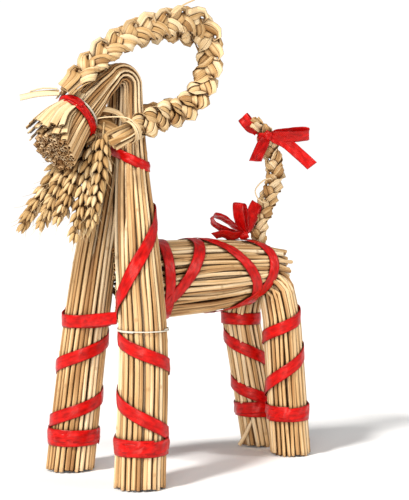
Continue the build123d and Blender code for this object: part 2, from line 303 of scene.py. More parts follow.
def plant_finish(name, tones, speck_colour, knuckle_colour, gloss, coat, fineness, specks, bump):
    """A dry plant material: tones is a colour ramp read by each stem's own shade and its streaks."""
    paint, tree, shader = new_paint(name)
    rim = attribute(tree, "rim")[0]
    along, shade, knuckle = (attribute(tree, label)[1] for label in ("along", "shade", "knuckle"))
    stem = {"Rim": rim, "Along": along, "Shade": shade}
    fibres = use_group(tree, STEM_FIBRES, {**stem, "Fineness": fineness})
    weather = use_group(tree, WEATHER_SPECKS, {**stem, "Amount": specks})
    streak = fit_range(tree, fibres.outputs["Streak"], 0.3, 0.7, -0.34, 0.28)
    patch = fit_range(tree, weather.outputs["Patch"], 0.25, 0.75, -0.2, 0.2)
    tone = maths(tree, "ADD", shade, maths(tree, "ADD", streak, patch))
    colour = colour_ramp(tree, tone, tones)
    fine = fit_range(tree, fibres.outputs["Fibre"], 0.3, 0.72, 0.66, 1.16)
    grain = node(tree, "ShaderNodeCombineColor", {0: fine, 1: fine, 2: fine})
    colour = mix_colour(tree, 1.0, colour, grain.outputs[0], "MULTIPLY")
    colour = mix_colour(tree, maths(tree, "MULTIPLY", weather.outputs["Speck"], 0.65), colour, speck_colour)
    colour = mix_colour(tree, maths(tree, "MULTIPLY", knuckle, 0.5), colour, knuckle_colour)
    # Painted shade: ambient occlusion turns the colour towards a deep brown in the gaps between stems, where
    # shade falls.
    hidden = node(tree, "ShaderNodeAmbientOcclusion", {"Distance": PAINTED_SHADE_REACH}, samples=6)
    painted_shade = fit_range(tree, hidden.outputs["AO"], 0.24, 0.84, 0.94, 0.0)
    colour = mix_colour(tree, painted_shade, colour, PAINTED_GAP_SHADE)
    tree.links.new(colour, shader.inputs["Base Color"])
    rough = fit_range(tree, fibres.outputs["Fibre"], 0.2, 0.8, gloss - 0.1, gloss + 0.14)
    tree.links.new(rough, shader.inputs["Roughness"])
    shader.inputs["Specular IOR Level"].default_value = 0.22
    shader.inputs["Coat Weight"].default_value = coat
    shader.inputs["Coat Roughness"].default_value = 0.35
    add_relief(tree, shader, fibres.outputs["Fibre"], bump, 0.0004)
    return paint


STRAW_TONES = ((0.0, (0.40, 0.205, 0.075)), (0.25, (0.62, 0.375, 0.160)),
               (0.6, (0.80, 0.550, 0.290)), (1.0, (0.90, 0.720, 0.470)))
PLAIT_TONES = ((0.0, (0.38, 0.195, 0.065)), (0.25, (0.57, 0.345, 0.140)),
               (0.6, (0.74, 0.505, 0.250)), (1.0, (0.86, 0.670, 0.410)))
WHEAT_TONES = ((0.0, (0.36, 0.200, 0.070)), (0.4, (0.58, 0.370, 0.155)),
               (0.7, (0.76, 0.540, 0.270)), (1.0, (0.88, 0.700, 0.430)))
STRAW = plant_finish("golden_straw", STRAW_TONES, (0.24, 0.12, 0.045), (0.36, 0.19, 0.07),
                     0.46, 0.05, 4.0, 0.30, 0.35)
PLAITED = plant_finish("plait_straw", PLAIT_TONES, (0.30, 0.15, 0.05), (0.42, 0.22, 0.08),
                       0.42, 0.05, 5.0, 0.22, 0.45)
WHEAT = plant_finish("wheat_husk", WHEAT_TONES, (0.22, 0.11, 0.04), (0.40, 0.22, 0.09),
                     0.62, 0.0, 3.0, 0.35, 0.6)
RAFFIA = plant_finish("raffia_tie", PLAIT_TONES, (0.34, 0.2, 0.08), (0.5, 0.3, 0.12),
                      0.5, 0.05, 6.0, 0.15, 0.5)
THREAD = plant_finish("linen_thread", ((0.0, (0.70, 0.62, 0.47)), (1.0, (0.84, 0.78, 0.66))),
                      (0.5, 0.4, 0.28), (0.7, 0.6, 0.45), 0.7, 0.0, 8.0, 0.05, 0.6)
# Painted shade: the lining of each straw's bore is coloured dark brown, for the shade deep inside the tube.
PAINTED_BORE_SHADE = plant_finish("straw_bore_shade", ((0.0, (0.16, 0.060, 0.010)), (1.0, (0.44, 0.20, 0.045))),
                      (0.05, 0.025, 0.01), (0.1, 0.05, 0.02), 0.8, 0.0, 3.0, 0.3, 0.2)
print("plant finishes:", ", ".join(m.name for m in (STRAW, PLAITED, WHEAT, RAFFIA, THREAD, PAINTED_BORE_SHADE)))


# %% [markdown]
# ## Stems from guide lines
# Everything long and thin here is the same job: sweep a small oval along a line. Blender's *Curve to
# Mesh* can do that, but it picks its own twist. So each guide point carries its section's two half
# axes, `across` and `lift`, and the tree puts every swept point at *centre + rim.x across + rim.y lift*.
# The same tree then closes the stem and, where asked, pushes its ends in to make the straw hollow.

# %% The Geometry Nodes tree
def named(tree, label):
    """A vector that the points carry."""
    return node(tree, "GeometryNodeInputNamedAttribute", {"Name": label}, data_type="FLOAT_VECTOR").outputs[0]


def without(tree, last, *labels):
    """The last node's geometry, with these attributes taken off."""
    for label in labels:
        last = node(tree, "GeometryNodeRemoveAttribute", {"Geometry": last.outputs[0], "Name": label})
    return last


def stem_tree():
    tree, start, end = new_group(
        "stems_from_guides",
        [("Guides", GEOMETRY, None), ("Rim Points", "NodeSocketInt", 8), ("Hollow", "NodeSocketBool", True),
         ("Wall Share", FLOAT, 0.66), ("Hollow Depth", FLOAT, 0.006), ("Skin", "NodeSocketMaterial", None),
         ("Inside", "NodeSocketMaterial", None)],
        [("Stems", GEOMETRY)], "GeometryNodeTree")
    given = start.outputs

    def add(kind, links=None, **settings):
        return node(tree, kind, links, **settings)

    # Sweep a ring along each guide, and put its points where the guide's half axes say.
    line = add("GeometryNodeMeshToCurve", {"Mesh": given["Guides"]})
    ring = add("GeometryNodeCurvePrimitiveCircle", {"Resolution": given["Rim Points"], "Radius": 1.0})
    where = add("GeometryNodeInputPosition")
    ring = add("GeometryNodeStoreNamedAttribute",
               {"Geometry": ring.outputs["Curve"], "Name": "rim", "Value": where.outputs[0]},
               data_type="FLOAT_VECTOR", domain="POINT")
    swept = add("GeometryNodeCurveToMesh", {"Curve": line.outputs[0], "Profile Curve": ring.outputs[0],
                                            "Fill Caps": True})
    split = add("ShaderNodeSeparateXYZ", {0: named(tree, "rim")})
    offset = [add("ShaderNodeVectorMath", {0: named(tree, label), "Scale": split.outputs[axis]},
                  operation="SCALE").outputs[0] for axis, label in enumerate(("across", "lift"))]
    offset = add("ShaderNodeVectorMath", {0: offset[0], 1: offset[1]}, operation="ADD")
    place = add("ShaderNodeVectorMath", {0: named(tree, "centre"), 1: offset.outputs[0]}, operation="ADD")
    placed = add("GeometryNodeSetPosition", {"Geometry": swept.outputs[0], "Position": place.outputs[0]})
    # The caps are the only faces with more than four corners: they stay flat, and all else is smooth.
    corners = add("GeometryNodeInputMeshFaceNeighbors").outputs["Vertex Count"]
    is_cap = add("FunctionNodeCompare", {2: corners, 3: 4}, data_type="INT",
                 operation="GREATER_THAN").outputs[0]
    not_cap = add("FunctionNodeBooleanMath", {0: is_cap}, operation="NOT").outputs[0]
    smooth = add("GeometryNodeSetShadeSmooth", {"Geometry": placed.outputs[0], "Shade Smooth": not_cap})
    # Shrink a copy of each cap to the inner edge of the wall, and push it in to make the hollow.
    rims = add("GeometryNodeExtrudeMesh", {"Mesh": smooth.outputs[0], "Selection": is_cap,
                                           "Offset Scale": 0.0, "Individual": False})
    shrunk = add("GeometryNodeScaleElements",
                 {"Geometry": rims.outputs["Mesh"], "Selection": rims.outputs["Top"],
                  "Scale": given["Wall Share"]})
    inward = maths(tree, "MULTIPLY", given["Hollow Depth"], -1.0)
    bores = add("GeometryNodeExtrudeMesh", {"Mesh": shrunk.outputs[0], "Selection": rims.outputs["Top"],
                                            "Offset Scale": inward, "Individual": False})
    inside = add("FunctionNodeBooleanMath", {0: bores.outputs["Top"], 1: bores.outputs["Side"]},
                 operation="OR")
    skinned = add("GeometryNodeSetMaterial", {"Geometry": bores.outputs["Mesh"], "Material": given["Skin"]})
    lined = add("GeometryNodeSetMaterial", {"Geometry": skinned.outputs[0], "Selection": inside.outputs[0],
                                            "Material": given["Inside"]})
    plain = add("GeometryNodeSetMaterial", {"Geometry": smooth.outputs[0], "Material": given["Skin"]})
    choice = add("GeometryNodeSwitch", {"Switch": given["Hollow"], "False": plain.outputs[0],
                                        "True": lined.outputs[0]}, input_type="GEOMETRY")
    last = add("GeometryNodeRealizeInstances", {"Geometry": choice.outputs[0]})
    last = without(tree, last, "across", "lift", "centre")
    tree.links.new(last.outputs[0], end.inputs["Stems"])
    return tree


STEM_TREE = stem_tree()
print("tree inputs:", [i.name for i in STEM_TREE.interface.items_tree if i.in_out == "INPUT"])


# %% [markdown]
# ## Guide lines
# A guide line is a chain of mesh edges whose points carry `centre`, `across`, `lift`, `shade`, `along`
# and `knuckle`. The helpers below lay one straw at a time: they walk along a path, keep the section
# from twisting, and add a thicker, darker knuckle every hand's breadth, as a real straw has.

# %% Guide line helpers
def unit(vectors):
    """Vectors made one long."""
    vectors = np.asarray(vectors, float)
    return vectors / np.maximum(np.linalg.norm(vectors, axis=-1, keepdims=True), 1e-9)


def distances(path):
    """Distance along a path at each of its points."""
    steps = np.linalg.norm(np.diff(path, axis=0), axis=1)
    return np.concatenate([[0.0], np.cumsum(steps)])


def read_at(stops, far, rows):
    """Rows of numbers known at the distances far, read at the distances stops."""
    return np.stack([np.interp(stops, far, rows[:, axis]) for axis in range(rows.shape[1])], axis=1)


def sample(path, stops):
    """Points of a path at given distances along it."""
    return read_at(stops, distances(path), path)


def headings(path):
    """The direction of a path at each of its points."""
    return unit(np.gradient(path, axis=0))


def square_to(heads, way):
    """A direction made square to each heading, and one long."""
    return unit(way - heads * np.sum(way * heads, axis=1, keepdims=True))


def level_ways(angle):
    """Level directions at these angles."""
    return np.stack([np.cos(angle), np.sin(angle), np.zeros(len(angle))], axis=1)


def circle(middle, radius, first, second, angle):
    """Points of a circle round a middle, from its two axes."""
    return middle + np.outer(radius * np.cos(angle), first) + np.outer(radius * np.sin(angle), second)


def untwisted(path, first=None):
    """A side vector for each point of a path, carried along it without twist."""
    side = np.array([0.31, 0.84, 0.45]) if first is None else np.asarray(first, float)
    sides = []
    for head in headings(path):
        side = unit(side - head * (side @ head))
        sides.append(side)
    return np.array(sides)


def smooth_curve(points, per_run=8):
    """A Catmull-Rom curve through given points."""
    points = np.asarray(points, float)
    padded = np.vstack([2 * points[0] - points[1], points, 2 * points[-1] - points[-2]])
    shares = np.linspace(0, 1, per_run, endpoint=False)[:, None]
    runs = []
    for a, b, c, d in zip(padded, padded[1:], padded[2:], padded[3:]):
        runs.append(0.5 * (2 * b + (c - a) * shares + (2 * a - 5 * b + 4 * c - d) * shares ** 2
                           + (3 * b - a - 3 * c + d) * shares ** 3))
    return np.vstack(runs + [points[-1:]])


def ease(x, low, high):
    """0 below low, 1 above high, smooth between."""
    t = np.clip((np.asarray(x, float) - low) / (high - low), 0, 1)
    return t * t * (3 - 2 * t)


def vectors(data, key, rows):
    """Give the points of a mesh a vector each."""
    data.attributes.new(key, "FLOAT_VECTOR", "POINT").data.foreach_set("vector", np.asarray(rows).ravel())


def numbers(data, key, rows):
    """Give the points of a mesh a number each."""
    data.attributes.new(key, "FLOAT", "POINT").data.foreach_set("value", rows)


KNUCKLE_RISE = 0.13          # how much thicker a knuckle is, as a share of the radius
KNUCKLE_MARGIN = 6.0         # no knuckle nearer to a straw's end than this
KNUCKLE_STOPS = np.array([-2.2, -0.8, 0.8, 2.2])


class Guides:
    """Guide lines of one piece, in millimetres until the mesh is made."""

    def __init__(self):
        self.columns = {key: [] for key in ("centre", "across", "lift", "shade", "along", "knuckle")}
        self.edges = []
        self.count = 0
        self.lines = 0

    def add(self, centre, across, lift, shade, along=None, knuckle=None):
        """One guide line from its points and half axes."""
        centre, across, lift = (np.asarray(rows, float) for rows in (centre, across, lift))
        if np.dot(np.cross(across[0], lift[0]), centre[1] - centre[0]) < 0:
            lift = -lift                    # a left-handed section would turn the stem inside out
        size = len(centre)
        along = distances(centre) if along is None else along
        knuckle = np.zeros(size) if knuckle is None else knuckle
        for key, value in (("centre", centre), ("across", across), ("lift", lift),
                           ("shade", np.full(size, shade)), ("along", along), ("knuckle", knuckle)):
            self.columns[key].append(np.asarray(value, float))
        index = np.arange(self.count, self.count + size - 1)
        self.edges.append(np.stack([index, index + 1], axis=1))
        self.count += size
        self.lines += 1

    def straw(self, path, radius, shade, rng, step=13.0, flat=1.0, knuckles=True, first=None, start=0.0,
              knuckle_gap=(90.0, 190.0)):
        """A round straw along a dense path; radius is a number or a value for each path point."""
        far = distances(path)
        length = far[-1]
        stops = list(np.linspace(0, length, max(4, int(length / step) + 1)))
        joints = []
        if knuckles:
            place = rng.uniform(0, knuckle_gap[1])
            while place < length - KNUCKLE_MARGIN:
                if place > KNUCKLE_MARGIN:
                    joints.append(place)
                    stops += list(place + KNUCKLE_STOPS)
                place += rng.uniform(*knuckle_gap)
        stops = np.array(sorted(stops))
        stops = stops[np.concatenate([[True], np.diff(stops) > 0.4])]
        centre = sample(path, stops)
        radii = np.interp(stops, far, np.broadcast_to(radius, len(path)))
        near = np.zeros(len(stops))
        for place in joints:
            near = np.maximum(near, np.clip(1.4 - np.abs(stops - place) / 1.6, 0, 1))
        radii = radii * (1 + KNUCKLE_RISE * near)
        side = untwisted(centre, first)
        other = np.cross(headings(centre), side)
        thin = np.interp(stops, far, np.broadcast_to(flat, len(path)))
        self.add(centre, side * radii[:, None], other * (radii * thin)[:, None], shade,
                 along=start + stops, knuckle=near)

    def mesh_object(self, name):
        """The guide lines as a mesh object for the tree, in metres."""
        data = bpy.data.meshes.new(name + "_guides")
        columns = {key: np.concatenate(rows) for key, rows in self.columns.items()}
        data.from_pydata((columns["centre"] * MM).tolist(), np.concatenate(self.edges).tolist(), [])
        for key in ("centre", "across", "lift"):
            vectors(data, key, columns[key] * MM)
        for key, scale in (("shade", 1.0), ("along", MM), ("knuckle", 1.0)):
            numbers(data, key, columns[key] * scale)
        return place_object(name + "_guides", data)


def run_tree(thing, tree, name, values):
    """Run a Geometry Nodes tree on an object and return the result as a plain mesh object."""
    modifier = thing.modifiers.new("grow", "NODES")
    modifier.node_group = tree
    for item in tree.interface.items_tree:
        if item.in_out == "INPUT" and item.name in values:
            modifier[item.identifier] = values[item.name]
    shown = thing.evaluated_get(bpy.context.evaluated_depsgraph_get())
    data = bpy.data.meshes.new_from_object(shown)
    data.name = name
    thing.modifiers.remove(modifier)
    bpy.data.objects.remove(thing)
    return place_object(name, data)


def triangles(piece):
    """How many triangles a piece has."""
    return sum(len(face.vertices) - 2 for face in piece.data.polygons)


def finish_piece(piece, slot, *nodes):
    """Tie a piece to the goat's body, and hide the plain shapes that it stands for; slot is not used."""
    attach(piece, "root")
    if nodes:
        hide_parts(*nodes)


def grow(guides, name, skin, slot, *nodes, hollow=True, rim_points=8, wall=0.66, depth=6.0):
    """Make a piece from guide lines, and tie it to the goat."""
    piece = run_tree(guides.mesh_object(name), STEM_TREE, name,
                     {"Rim Points": rim_points, "Hollow": hollow, "Wall Share": wall,
                      "Hollow Depth": depth * MM, "Skin": skin, "Inside": PAINTED_BORE_SHADE})
    print(f"{name}: {guides.lines} stems, {triangles(piece)} triangles")
    finish_piece(piece, slot, *nodes)


# %% [markdown]
# ## Bundles
# A bundle is packed like pencils in a jar: rings of straws, each ring one straw further in. Where the
# craftsman pulls the bundle thin, as up the neck, the outer ring can't hold all its straws, so some
# slip inwards. `packed` lays out the rings at the foot, and `slip` says who gives way further up.

# %% Bundle helpers
NEIGHBOUR_GAP, RING_GAP = 2.04, 1.84      # between straws and between rings, in straw radii
GOLDEN_SHARE = 0.618034                  # steps of this spread ranks evenly round a ring
SLIP_MOST = 0.42


def packed(radius, straw, rng):
    """Places of straws in a round bundle: rows of (share of the radius, angle, rank in the ring)."""
    rows = []
    ring = radius - straw
    while ring > 0.5 * straw:
        number = int(2 * math.pi * ring / (NEIGHBOUR_GAP * straw))
        turn = rng.uniform(0, 2 * math.pi)
        for k in range(number):
            angle = turn + 2 * math.pi * (k + rng.uniform(-0.13, 0.13)) / number
            rows.append((ring / radius * rng.uniform(0.955, 1.005), angle, (k * GOLDEN_SHARE) % 1.0))
        ring -= RING_GAP * straw
    rows.append((0.0, 0.0, 0.0))
    return rows


def slip(share, rank, radius, full_radius, straw):
    """How far a straw slips inwards where the bundle is thinner than at its full radius."""
    room = np.clip((radius - straw * 0.8) / (full_radius - straw), 0.05, 1.0)
    return share * (1 - SLIP_MOST * ease(rank, room - 0.02, room + 0.16) * (room < 0.97))


def hermite(x, xs, ys):
    """A smooth curve through (xs, ys), read at x."""
    xs, ys = np.asarray(xs, float), np.asarray(ys, float)
    slopes = np.gradient(ys, xs)
    k = np.clip(np.searchsorted(xs, x) - 1, 0, len(xs) - 2)
    h = xs[k + 1] - xs[k]
    t = (x - xs[k]) / h
    return ((2 * t ** 3 - 3 * t ** 2 + 1) * ys[k] + (t ** 3 - 2 * t ** 2 + t) * h * slopes[k]
            + (-2 * t ** 3 + 3 * t ** 2) * ys[k + 1] + (t ** 3 - t ** 2) * h * slopes[k + 1])


STRAW_RADIUS = 2.0
# Level discs of the left bundles, lowest first: x, y, z, radius. The right ones mirror x.
FRONT_DISCS = np.array([(48.6, -78.0, 0.0, 21.5), (39.0, -67.0, 126.0, 20.0), (28.1, -64.0, 188.0, 18.4),
                        (14.4, -58.5, 260.0, 13.0), (9.4, -55.0, 307.0, 9.1), (8.6, -55.0, 332.0, 8.4)])
FOOT_RADIUS = FRONT_DISCS[0, 3]
SIDES = {"left": 1, "right": -1}
print("front bundle radius falls from", FOOT_RADIUS, "to", FRONT_DISCS[-1, 3], "mm")


# %% [markdown]
# ## Front bundles and muzzle
# Each front bundle is one leg and half of the neck, and at the top both are folded over sharply to
# make the head. So each straw is drawn as one long line, from the foot to its cut end in the muzzle.
# The line is cut just below the fold, because the muzzle is a separate piece of the library part; both
# halves of a cut straw have the same middle and size there, so no gap shows.

# %% Lay the front straws
FOLD_BACK = 11.0            # the fold turns round a line this far in front of the neck's middle
FOLD_DROP = 10.0            # and this far below the top of the neck
FOLD_INNER = 3.0            # radius of the innermost straw's bend
MUZZLE_SLOPE = math.radians(39.0)
MUZZLE_AIM = np.array([0.0, -math.cos(MUZZLE_SLOPE), -math.sin(MUZZLE_SLOPE)])
MUZZLE_LIFT = np.array([0.0, -math.sin(MUZZLE_SLOPE), math.cos(MUZZLE_SLOPE)])
NECK_TOP = FRONT_DISCS[-1]
FOLD_POINT = np.array([0.0, NECK_TOP[1] - FOLD_BACK, NECK_TOP[2] - FOLD_DROP])
# Distance from the fold, half width, half height, height of the middle above the fold line.
MUZZLE_SHAPE = np.array([
    (0.0, 17.0, 8.6, 11.0),
    (22.0, 16.0, 13.0, 7.0),
    (45.0, 15.5, 16.0, 3.0),
    (62.0, 19.5, 17.5, 0.0),
    (80.0, 24.0, 19.0, -4.0),
])
MUZZLE_LENGTH = MUZZLE_SHAPE[-1, 0]
MUZZLE_FILL = 0.93          # how much of the muzzle's outline the straws' middles fill
LEG_STOPS, FOLD_STOPS, SNOUT_STOPS = 70, 10, 29
CUT_BELOW_FOLD = 14.0


def front_path(side, share, angle, rank, rng):
    """Dense path of one front straw from foot to muzzle end, its radius, and where the fold starts."""
    sign = SIDES[side]
    wander = rng.uniform(-0.05, 0.05), rng.uniform(0, 6.28), rng.uniform(0.6, 1.4)
    top = FOLD_POINT[2]
    z = np.linspace(rng.uniform(0, 2.6) if share > 0.2 else 0.0, top, LEG_STOPS)
    x0, y0, r0 = (hermite(z, FRONT_DISCS[:, 2], FRONT_DISCS[:, k]) for k in (0, 1, 3))
    x0 = x0 * sign
    turn = angle + wander[0] * np.sin(z / top * 6 * wander[2] + wander[1])
    reach = slip(share, rank, r0, FOOT_RADIUS, STRAW_RADIUS)
    leg = np.stack([x0 + r0 * reach * np.cos(turn), y0 + r0 * reach * np.sin(turn), z], axis=1)
    thin = STRAW_RADIUS * np.clip((r0 / FOOT_RADIUS) ** 0.4, 0.72, 1.0)
    u, v = reach[-1] * math.cos(turn[-1]), reach[-1] * math.sin(turn[-1])
    fold_radius = FOLD_INNER + (1 + v) * MUZZLE_SHAPE[0, 2]
    swing = np.linspace(0, math.pi / 2 + MUZZLE_SLOPE, FOLD_STOPS + 1)[1:]
    fold = np.stack([np.full(FOLD_STOPS, leg[-1, 0]), FOLD_POINT[1] + fold_radius * np.cos(swing),
                     FOLD_POINT[2] + fold_radius * np.sin(swing)], axis=1)
    far = np.linspace(0, MUZZLE_LENGTH + rng.uniform(-2.5, 2.0), SNOUT_STOPS + 1)[1:]
    half_wide, half_high, middle = (hermite(far, MUZZLE_SHAPE[:, 0], MUZZLE_SHAPE[:, k]) for k in (1, 2, 3))
    spread = ease(far, 0, 30)
    u_end, v_end = share * math.cos(angle), share * math.sin(angle)
    v_now = v + (v_end - v) * spread
    chord = np.sqrt(np.maximum(1 - v_now ** 2, 0.02))
    u_now = np.clip((u + (u_end - u) * spread) / chord, -1, 1)
    half = sign * (1 + sign * u_now) / 2
    round_x = half * chord * half_wide * MUZZLE_FILL
    blend = ease(far, 0, 16)
    lift = middle + v_now * half_high * MUZZLE_FILL
    snout = FOLD_POINT + far[:, None] * MUZZLE_AIM + lift[:, None] * MUZZLE_LIFT
    snout[:, 0] = leg[-1, 0] * (1 - blend) + round_x * blend
    path = np.vstack([leg, fold, snout])
    regrown = thin[-1] + (STRAW_RADIUS - thin[-1]) * ease(far, 30, 76)
    radius = np.concatenate([thin, np.full(FOLD_STOPS, thin[-1]), regrown])
    return path, radius, distances(path)[LEG_STOPS - 1]


def lay_front(side, rng, muzzle):
    """All straws of one front bundle; their muzzle ends go to the muzzle's own guides."""
    legs = Guides()
    for share, angle, rank in packed(FOOT_RADIUS - 1.2, STRAW_RADIUS, rng):
        path, radius, fold_at = front_path(side, share, angle, rank, rng)
        size = rng.uniform(0.80, 1.14)
        far = distances(path)
        shade = rng.beta(1.5, 1.4)
        cut = int(np.searchsorted(far, fold_at - CUT_BELOW_FOLD))
        legs.straw(path[:cut + 1], radius[:cut + 1] * size, shade, rng)
        bend = far[cut:] - far[cut]
        crush = rng.uniform(0.3, 0.6) * ease(bend, 2, 18) * (1 - ease(bend, 70, 110))
        muzzle.straw(path[cut:], radius[cut:] * size * (1 + 0.55 * crush), shade, rng, step=4.5,
                     first=(1.0, 0.0, 0.0), start=far[cut], knuckles=rng.random() < 0.25, flat=1 - crush)
    return legs


rng = np.random.default_rng(41)
muzzle_guides = Guides()
for side in SIDES:
    grow(lay_front(side, rng, muzzle_guides), f"front_{side}_straws", STRAW, "straw", f"front_{side}_bundle")
grow(muzzle_guides, "muzzle_straws", STRAW, "straw", "muzzle_bundle", wall=0.8)


# %% [markdown]
# ## Rear legs
# The rear legs are short bundles whose upper ends are bent forward and bound into the body. Each straw
# climbs its leg, then turns over in an arc: the straws at the back of the leg take the widest arc, and
# that makes the rounded rump.

# %% Lay the rear straws
# Level discs up to where the bend starts: x (left leg), y, z, radius.
REAR_DISCS = {
    "left": np.array([(25.1, 112.2, 0.0, 19.0), (25.1, 101.0, 122.0, 17.5), (19.0, 101.0, 144.0, 17.0)]),
    "right": np.array([(25.1, 123.9, 0.0, 19.0), (25.1, 97.0, 122.0, 17.5), (19.0, 97.0, 144.0, 17.0)]),
}


def rear_path(side, share, angle, rng):
    """Dense path of one rear straw from its foot to its end inside the body."""
    discs = REAR_DISCS[side]
    z = np.linspace(rng.uniform(0, 2.6) if share > 0.2 else 0.0, discs[-1, 2], 40)
    x0, y0, r0 = (np.interp(z, discs[:, 2], discs[:, k]) for k in (0, 1, 3))
    x0 = x0 * SIDES[side]
    wave = rng.uniform(-0.05, 0.05) * np.sin(z / rng.uniform(18, 30) + rng.uniform(0, 6.28))
    turn = angle + wave
    leg = np.stack([x0 + r0 * share * np.cos(turn), y0 + r0 * share * np.sin(turn), z], axis=1)
    behind = leg[-1, 1] - (y0[-1] - r0[-1])
    bend = 6.0 + 0.66 * behind + rng.uniform(-4.0, 4.5)
    swing = np.linspace(0, math.radians(rng.uniform(68, 88)), 12)[1:]
    arc = np.stack([leg[-1, 0] * (1 - 0.36 * ease(swing, 0, 1.5)),
                    leg[-1, 1] - bend * (1 - np.cos(swing)), z[-1] + bend * np.sin(swing)], axis=1)
    stub = arc[-1] + np.outer(np.linspace(3, 14, 4), [0.0, -1.0, 0.06])
    return np.vstack([leg, arc, stub])


for side in SIDES:
    guides = Guides()
    for share, angle, _ in packed(REAR_DISCS[side][0, 3] - 0.9, STRAW_RADIUS, rng):
        guides.straw(rear_path(side, share, angle, rng), STRAW_RADIUS * rng.uniform(0.78, 1.14),
                     rng.beta(1.5, 1.4), rng, step=9.0)
    grow(guides, f"rear_{side}_straws", STRAW, "straw", f"rear_{side}_bundle")


# %% [markdown]
# ## Body
# The body is the thickest bundle and lies level. It is a little thinner at the rump, where the top
# straws run on past the legs and end in a loose, drooping tuft. The straws in the middle of the chest
# reach forward between the two front bundles, so the goat isn't hollow there.

# %% Lay the body straws
BODY_FRONT, BODY_REAR = -44.0, 119.0
BODY_AXIS_FRONT, BODY_AXIS_REAR = 161.0, 165.0
BODY_RINGS = np.array([(-44.0, 34.0), (29.4, 32.6), (83.1, 27.8), (119.0, 21.6)])
CHEST_REACH, CHEST_HALF = -60.0, 9.0      # the middle straws reach this far, and who they are
TUCK_BELOW = 166.0                       # straws that end lower than this are tucked in at the rump


def body_axis(y):
    """Height of the body's axis."""
    return BODY_AXIS_FRONT + (BODY_AXIS_REAR - BODY_AXIS_FRONT) * (y - BODY_FRONT) / (BODY_REAR - BODY_FRONT)


def body_radius(y):
    """Radius of the body bundle."""
    return np.interp(y, BODY_RINGS[:, 0], BODY_RINGS[:, 1])


def body_path(share, angle, rank, rng):
    """Dense path of one body straw from chest to rump."""
    full = BODY_RINGS[0, 1]
    x_front = full * share * math.cos(angle)
    if abs(x_front) < CHEST_HALF:
        y_first = CHEST_REACH + rng.uniform(-2, 3)
    else:
        y_first = BODY_FRONT + rng.uniform(-3, 2)
    height = 22.0 * share * math.sin(angle)
    tucked = body_axis(BODY_REAR) + height < TUCK_BELOW
    y_last = rng.uniform(84, 90) if tucked else rng.uniform(108, 124)
    y = np.linspace(y_first, y_last, 50)
    radius = body_radius(y)
    reach = slip(share, rank, radius, full, STRAW_RADIUS)
    turn = angle + rng.uniform(-0.07, 0.07) * np.sin(y / rng.uniform(22, 40) + rng.uniform(0, 6.28))
    droop = 0.0 if tucked else rng.uniform(0.0, 9.0) * ease(y, 95, 124)
    z = body_axis(y) + radius * reach * np.sin(turn) - droop
    return np.stack([radius * reach * np.cos(turn), y, z], axis=1)


guides = Guides()
for share, angle, rank in packed(BODY_RINGS[0, 1] - 0.9, STRAW_RADIUS, rng):
    guides.straw(body_path(share, angle, rank, rng), STRAW_RADIUS * rng.uniform(0.74, 1.22),
                 rng.beta(1.4, 1.3), rng, step=14.0)
grow(guides, "body_straws", STRAW, "straw", "body_bundle", rim_points=7)


# %% [markdown]
# ## Plaits
# Horns and tail are three-strand plaits of flattened straw. Each strand crosses from side to side in
# almost straight runs, and goes over and under twice as often. At each edge the strand is folded over,
# so its face turns through half a turn there: that fold makes the row of points down each side.

# %% Plait helpers
STRANDS = 3
UP = np.array([0.0, 0.0, 1.0])
TOWARDS = np.array([0.76, -0.65, 0.0])       # to the goat's front left, the side it is best seen from
SIDEWAYS = np.array([0.65, 0.76, 0.0])       # and square to it


def plait(guides, route, rng, half_width, half_depth, pitch, face, straws=3, straw_half=(2.75, 0.55),
          gap=4.7, loose_start=14.0, loose_end=15.0, splay=4.0):
    """Guide lines of a plait; face(points, share) gives the way that its flat side looks."""
    length = distances(route)[-1]
    stops = np.linspace(0, length, int(length / 2.1))
    centre = sample(route, stops)
    along_plait = headings(centre)
    facing = square_to(along_plait, face(centre, stops / length))
    side = np.cross(along_plait, facing)
    close = 1 - 0.45 * ease(stops, length - loose_end - 14, length - loose_end)
    close = close * (1 - 0.35 * (1 - ease(stops, loose_start * 0.3, loose_start + 12)))
    swing_at = np.clip(stops, loose_start, length - loose_end)
    for strand in range(STRANDS):
        phase = 2 * math.pi * (swing_at / pitch + strand / STRANDS)
        sharp = np.arcsin(0.97 * np.sin(phase)) / math.asin(0.97)
        core = (centre + side * (half_width * close * sharp)[:, None]
                + facing * (half_depth * close * np.sin(2 * phase))[:, None])
        heads = headings(core)
        fold = (math.pi / 2) * (1 - np.tanh(3 * np.cos(phase)) / math.tanh(3))
        flat = facing * np.cos(fold)[:, None] + side * (np.sign(np.sin(phase)) * np.sin(fold))[:, None]
        flat = square_to(heads, flat)
        wide = np.cross(heads, flat)
        shade_strand = rng.uniform(-0.12, 0.12)
        for k in range(straws):
            offset = (k - (straws - 1) / 2) * gap * (1 - 0.4 * np.sin(fold)) * close
            lift = rng.uniform(-0.25, 0.25) + 0.35 * np.sin(stops / rng.uniform(9, 15) + rng.uniform(0, 6.28))
            path = core + wide * (offset + rng.uniform(-0.5, 0.5))[:, None] + flat * lift[:, None]
            out = unit(rng.normal(size=3))
            fray = splay * ease(stops, length - loose_end + 3, length)
            path = path + out * (fray * rng.uniform(0.3, 1.0))[:, None]
            last = len(stops) - int(rng.uniform(0, 3))
            half = straw_half[0] * rng.uniform(0.8, 1.12) * (0.55 + 0.45 * close)
            roll = 0.42 * np.sin(stops / rng.uniform(14, 26) + rng.uniform(0, 6.28))
            broad = wide * np.cos(roll)[:, None] + flat * np.sin(roll)[:, None]
            level = flat * np.cos(roll)[:, None] - wide * np.sin(roll)[:, None]
            guides.add(path[:last], (broad * half[:, None])[:last], (level * straw_half[1])[:last],
                       float(np.clip(rng.beta(2.4, 2.0) + shade_strand, 0, 1)), along=stops[:last])


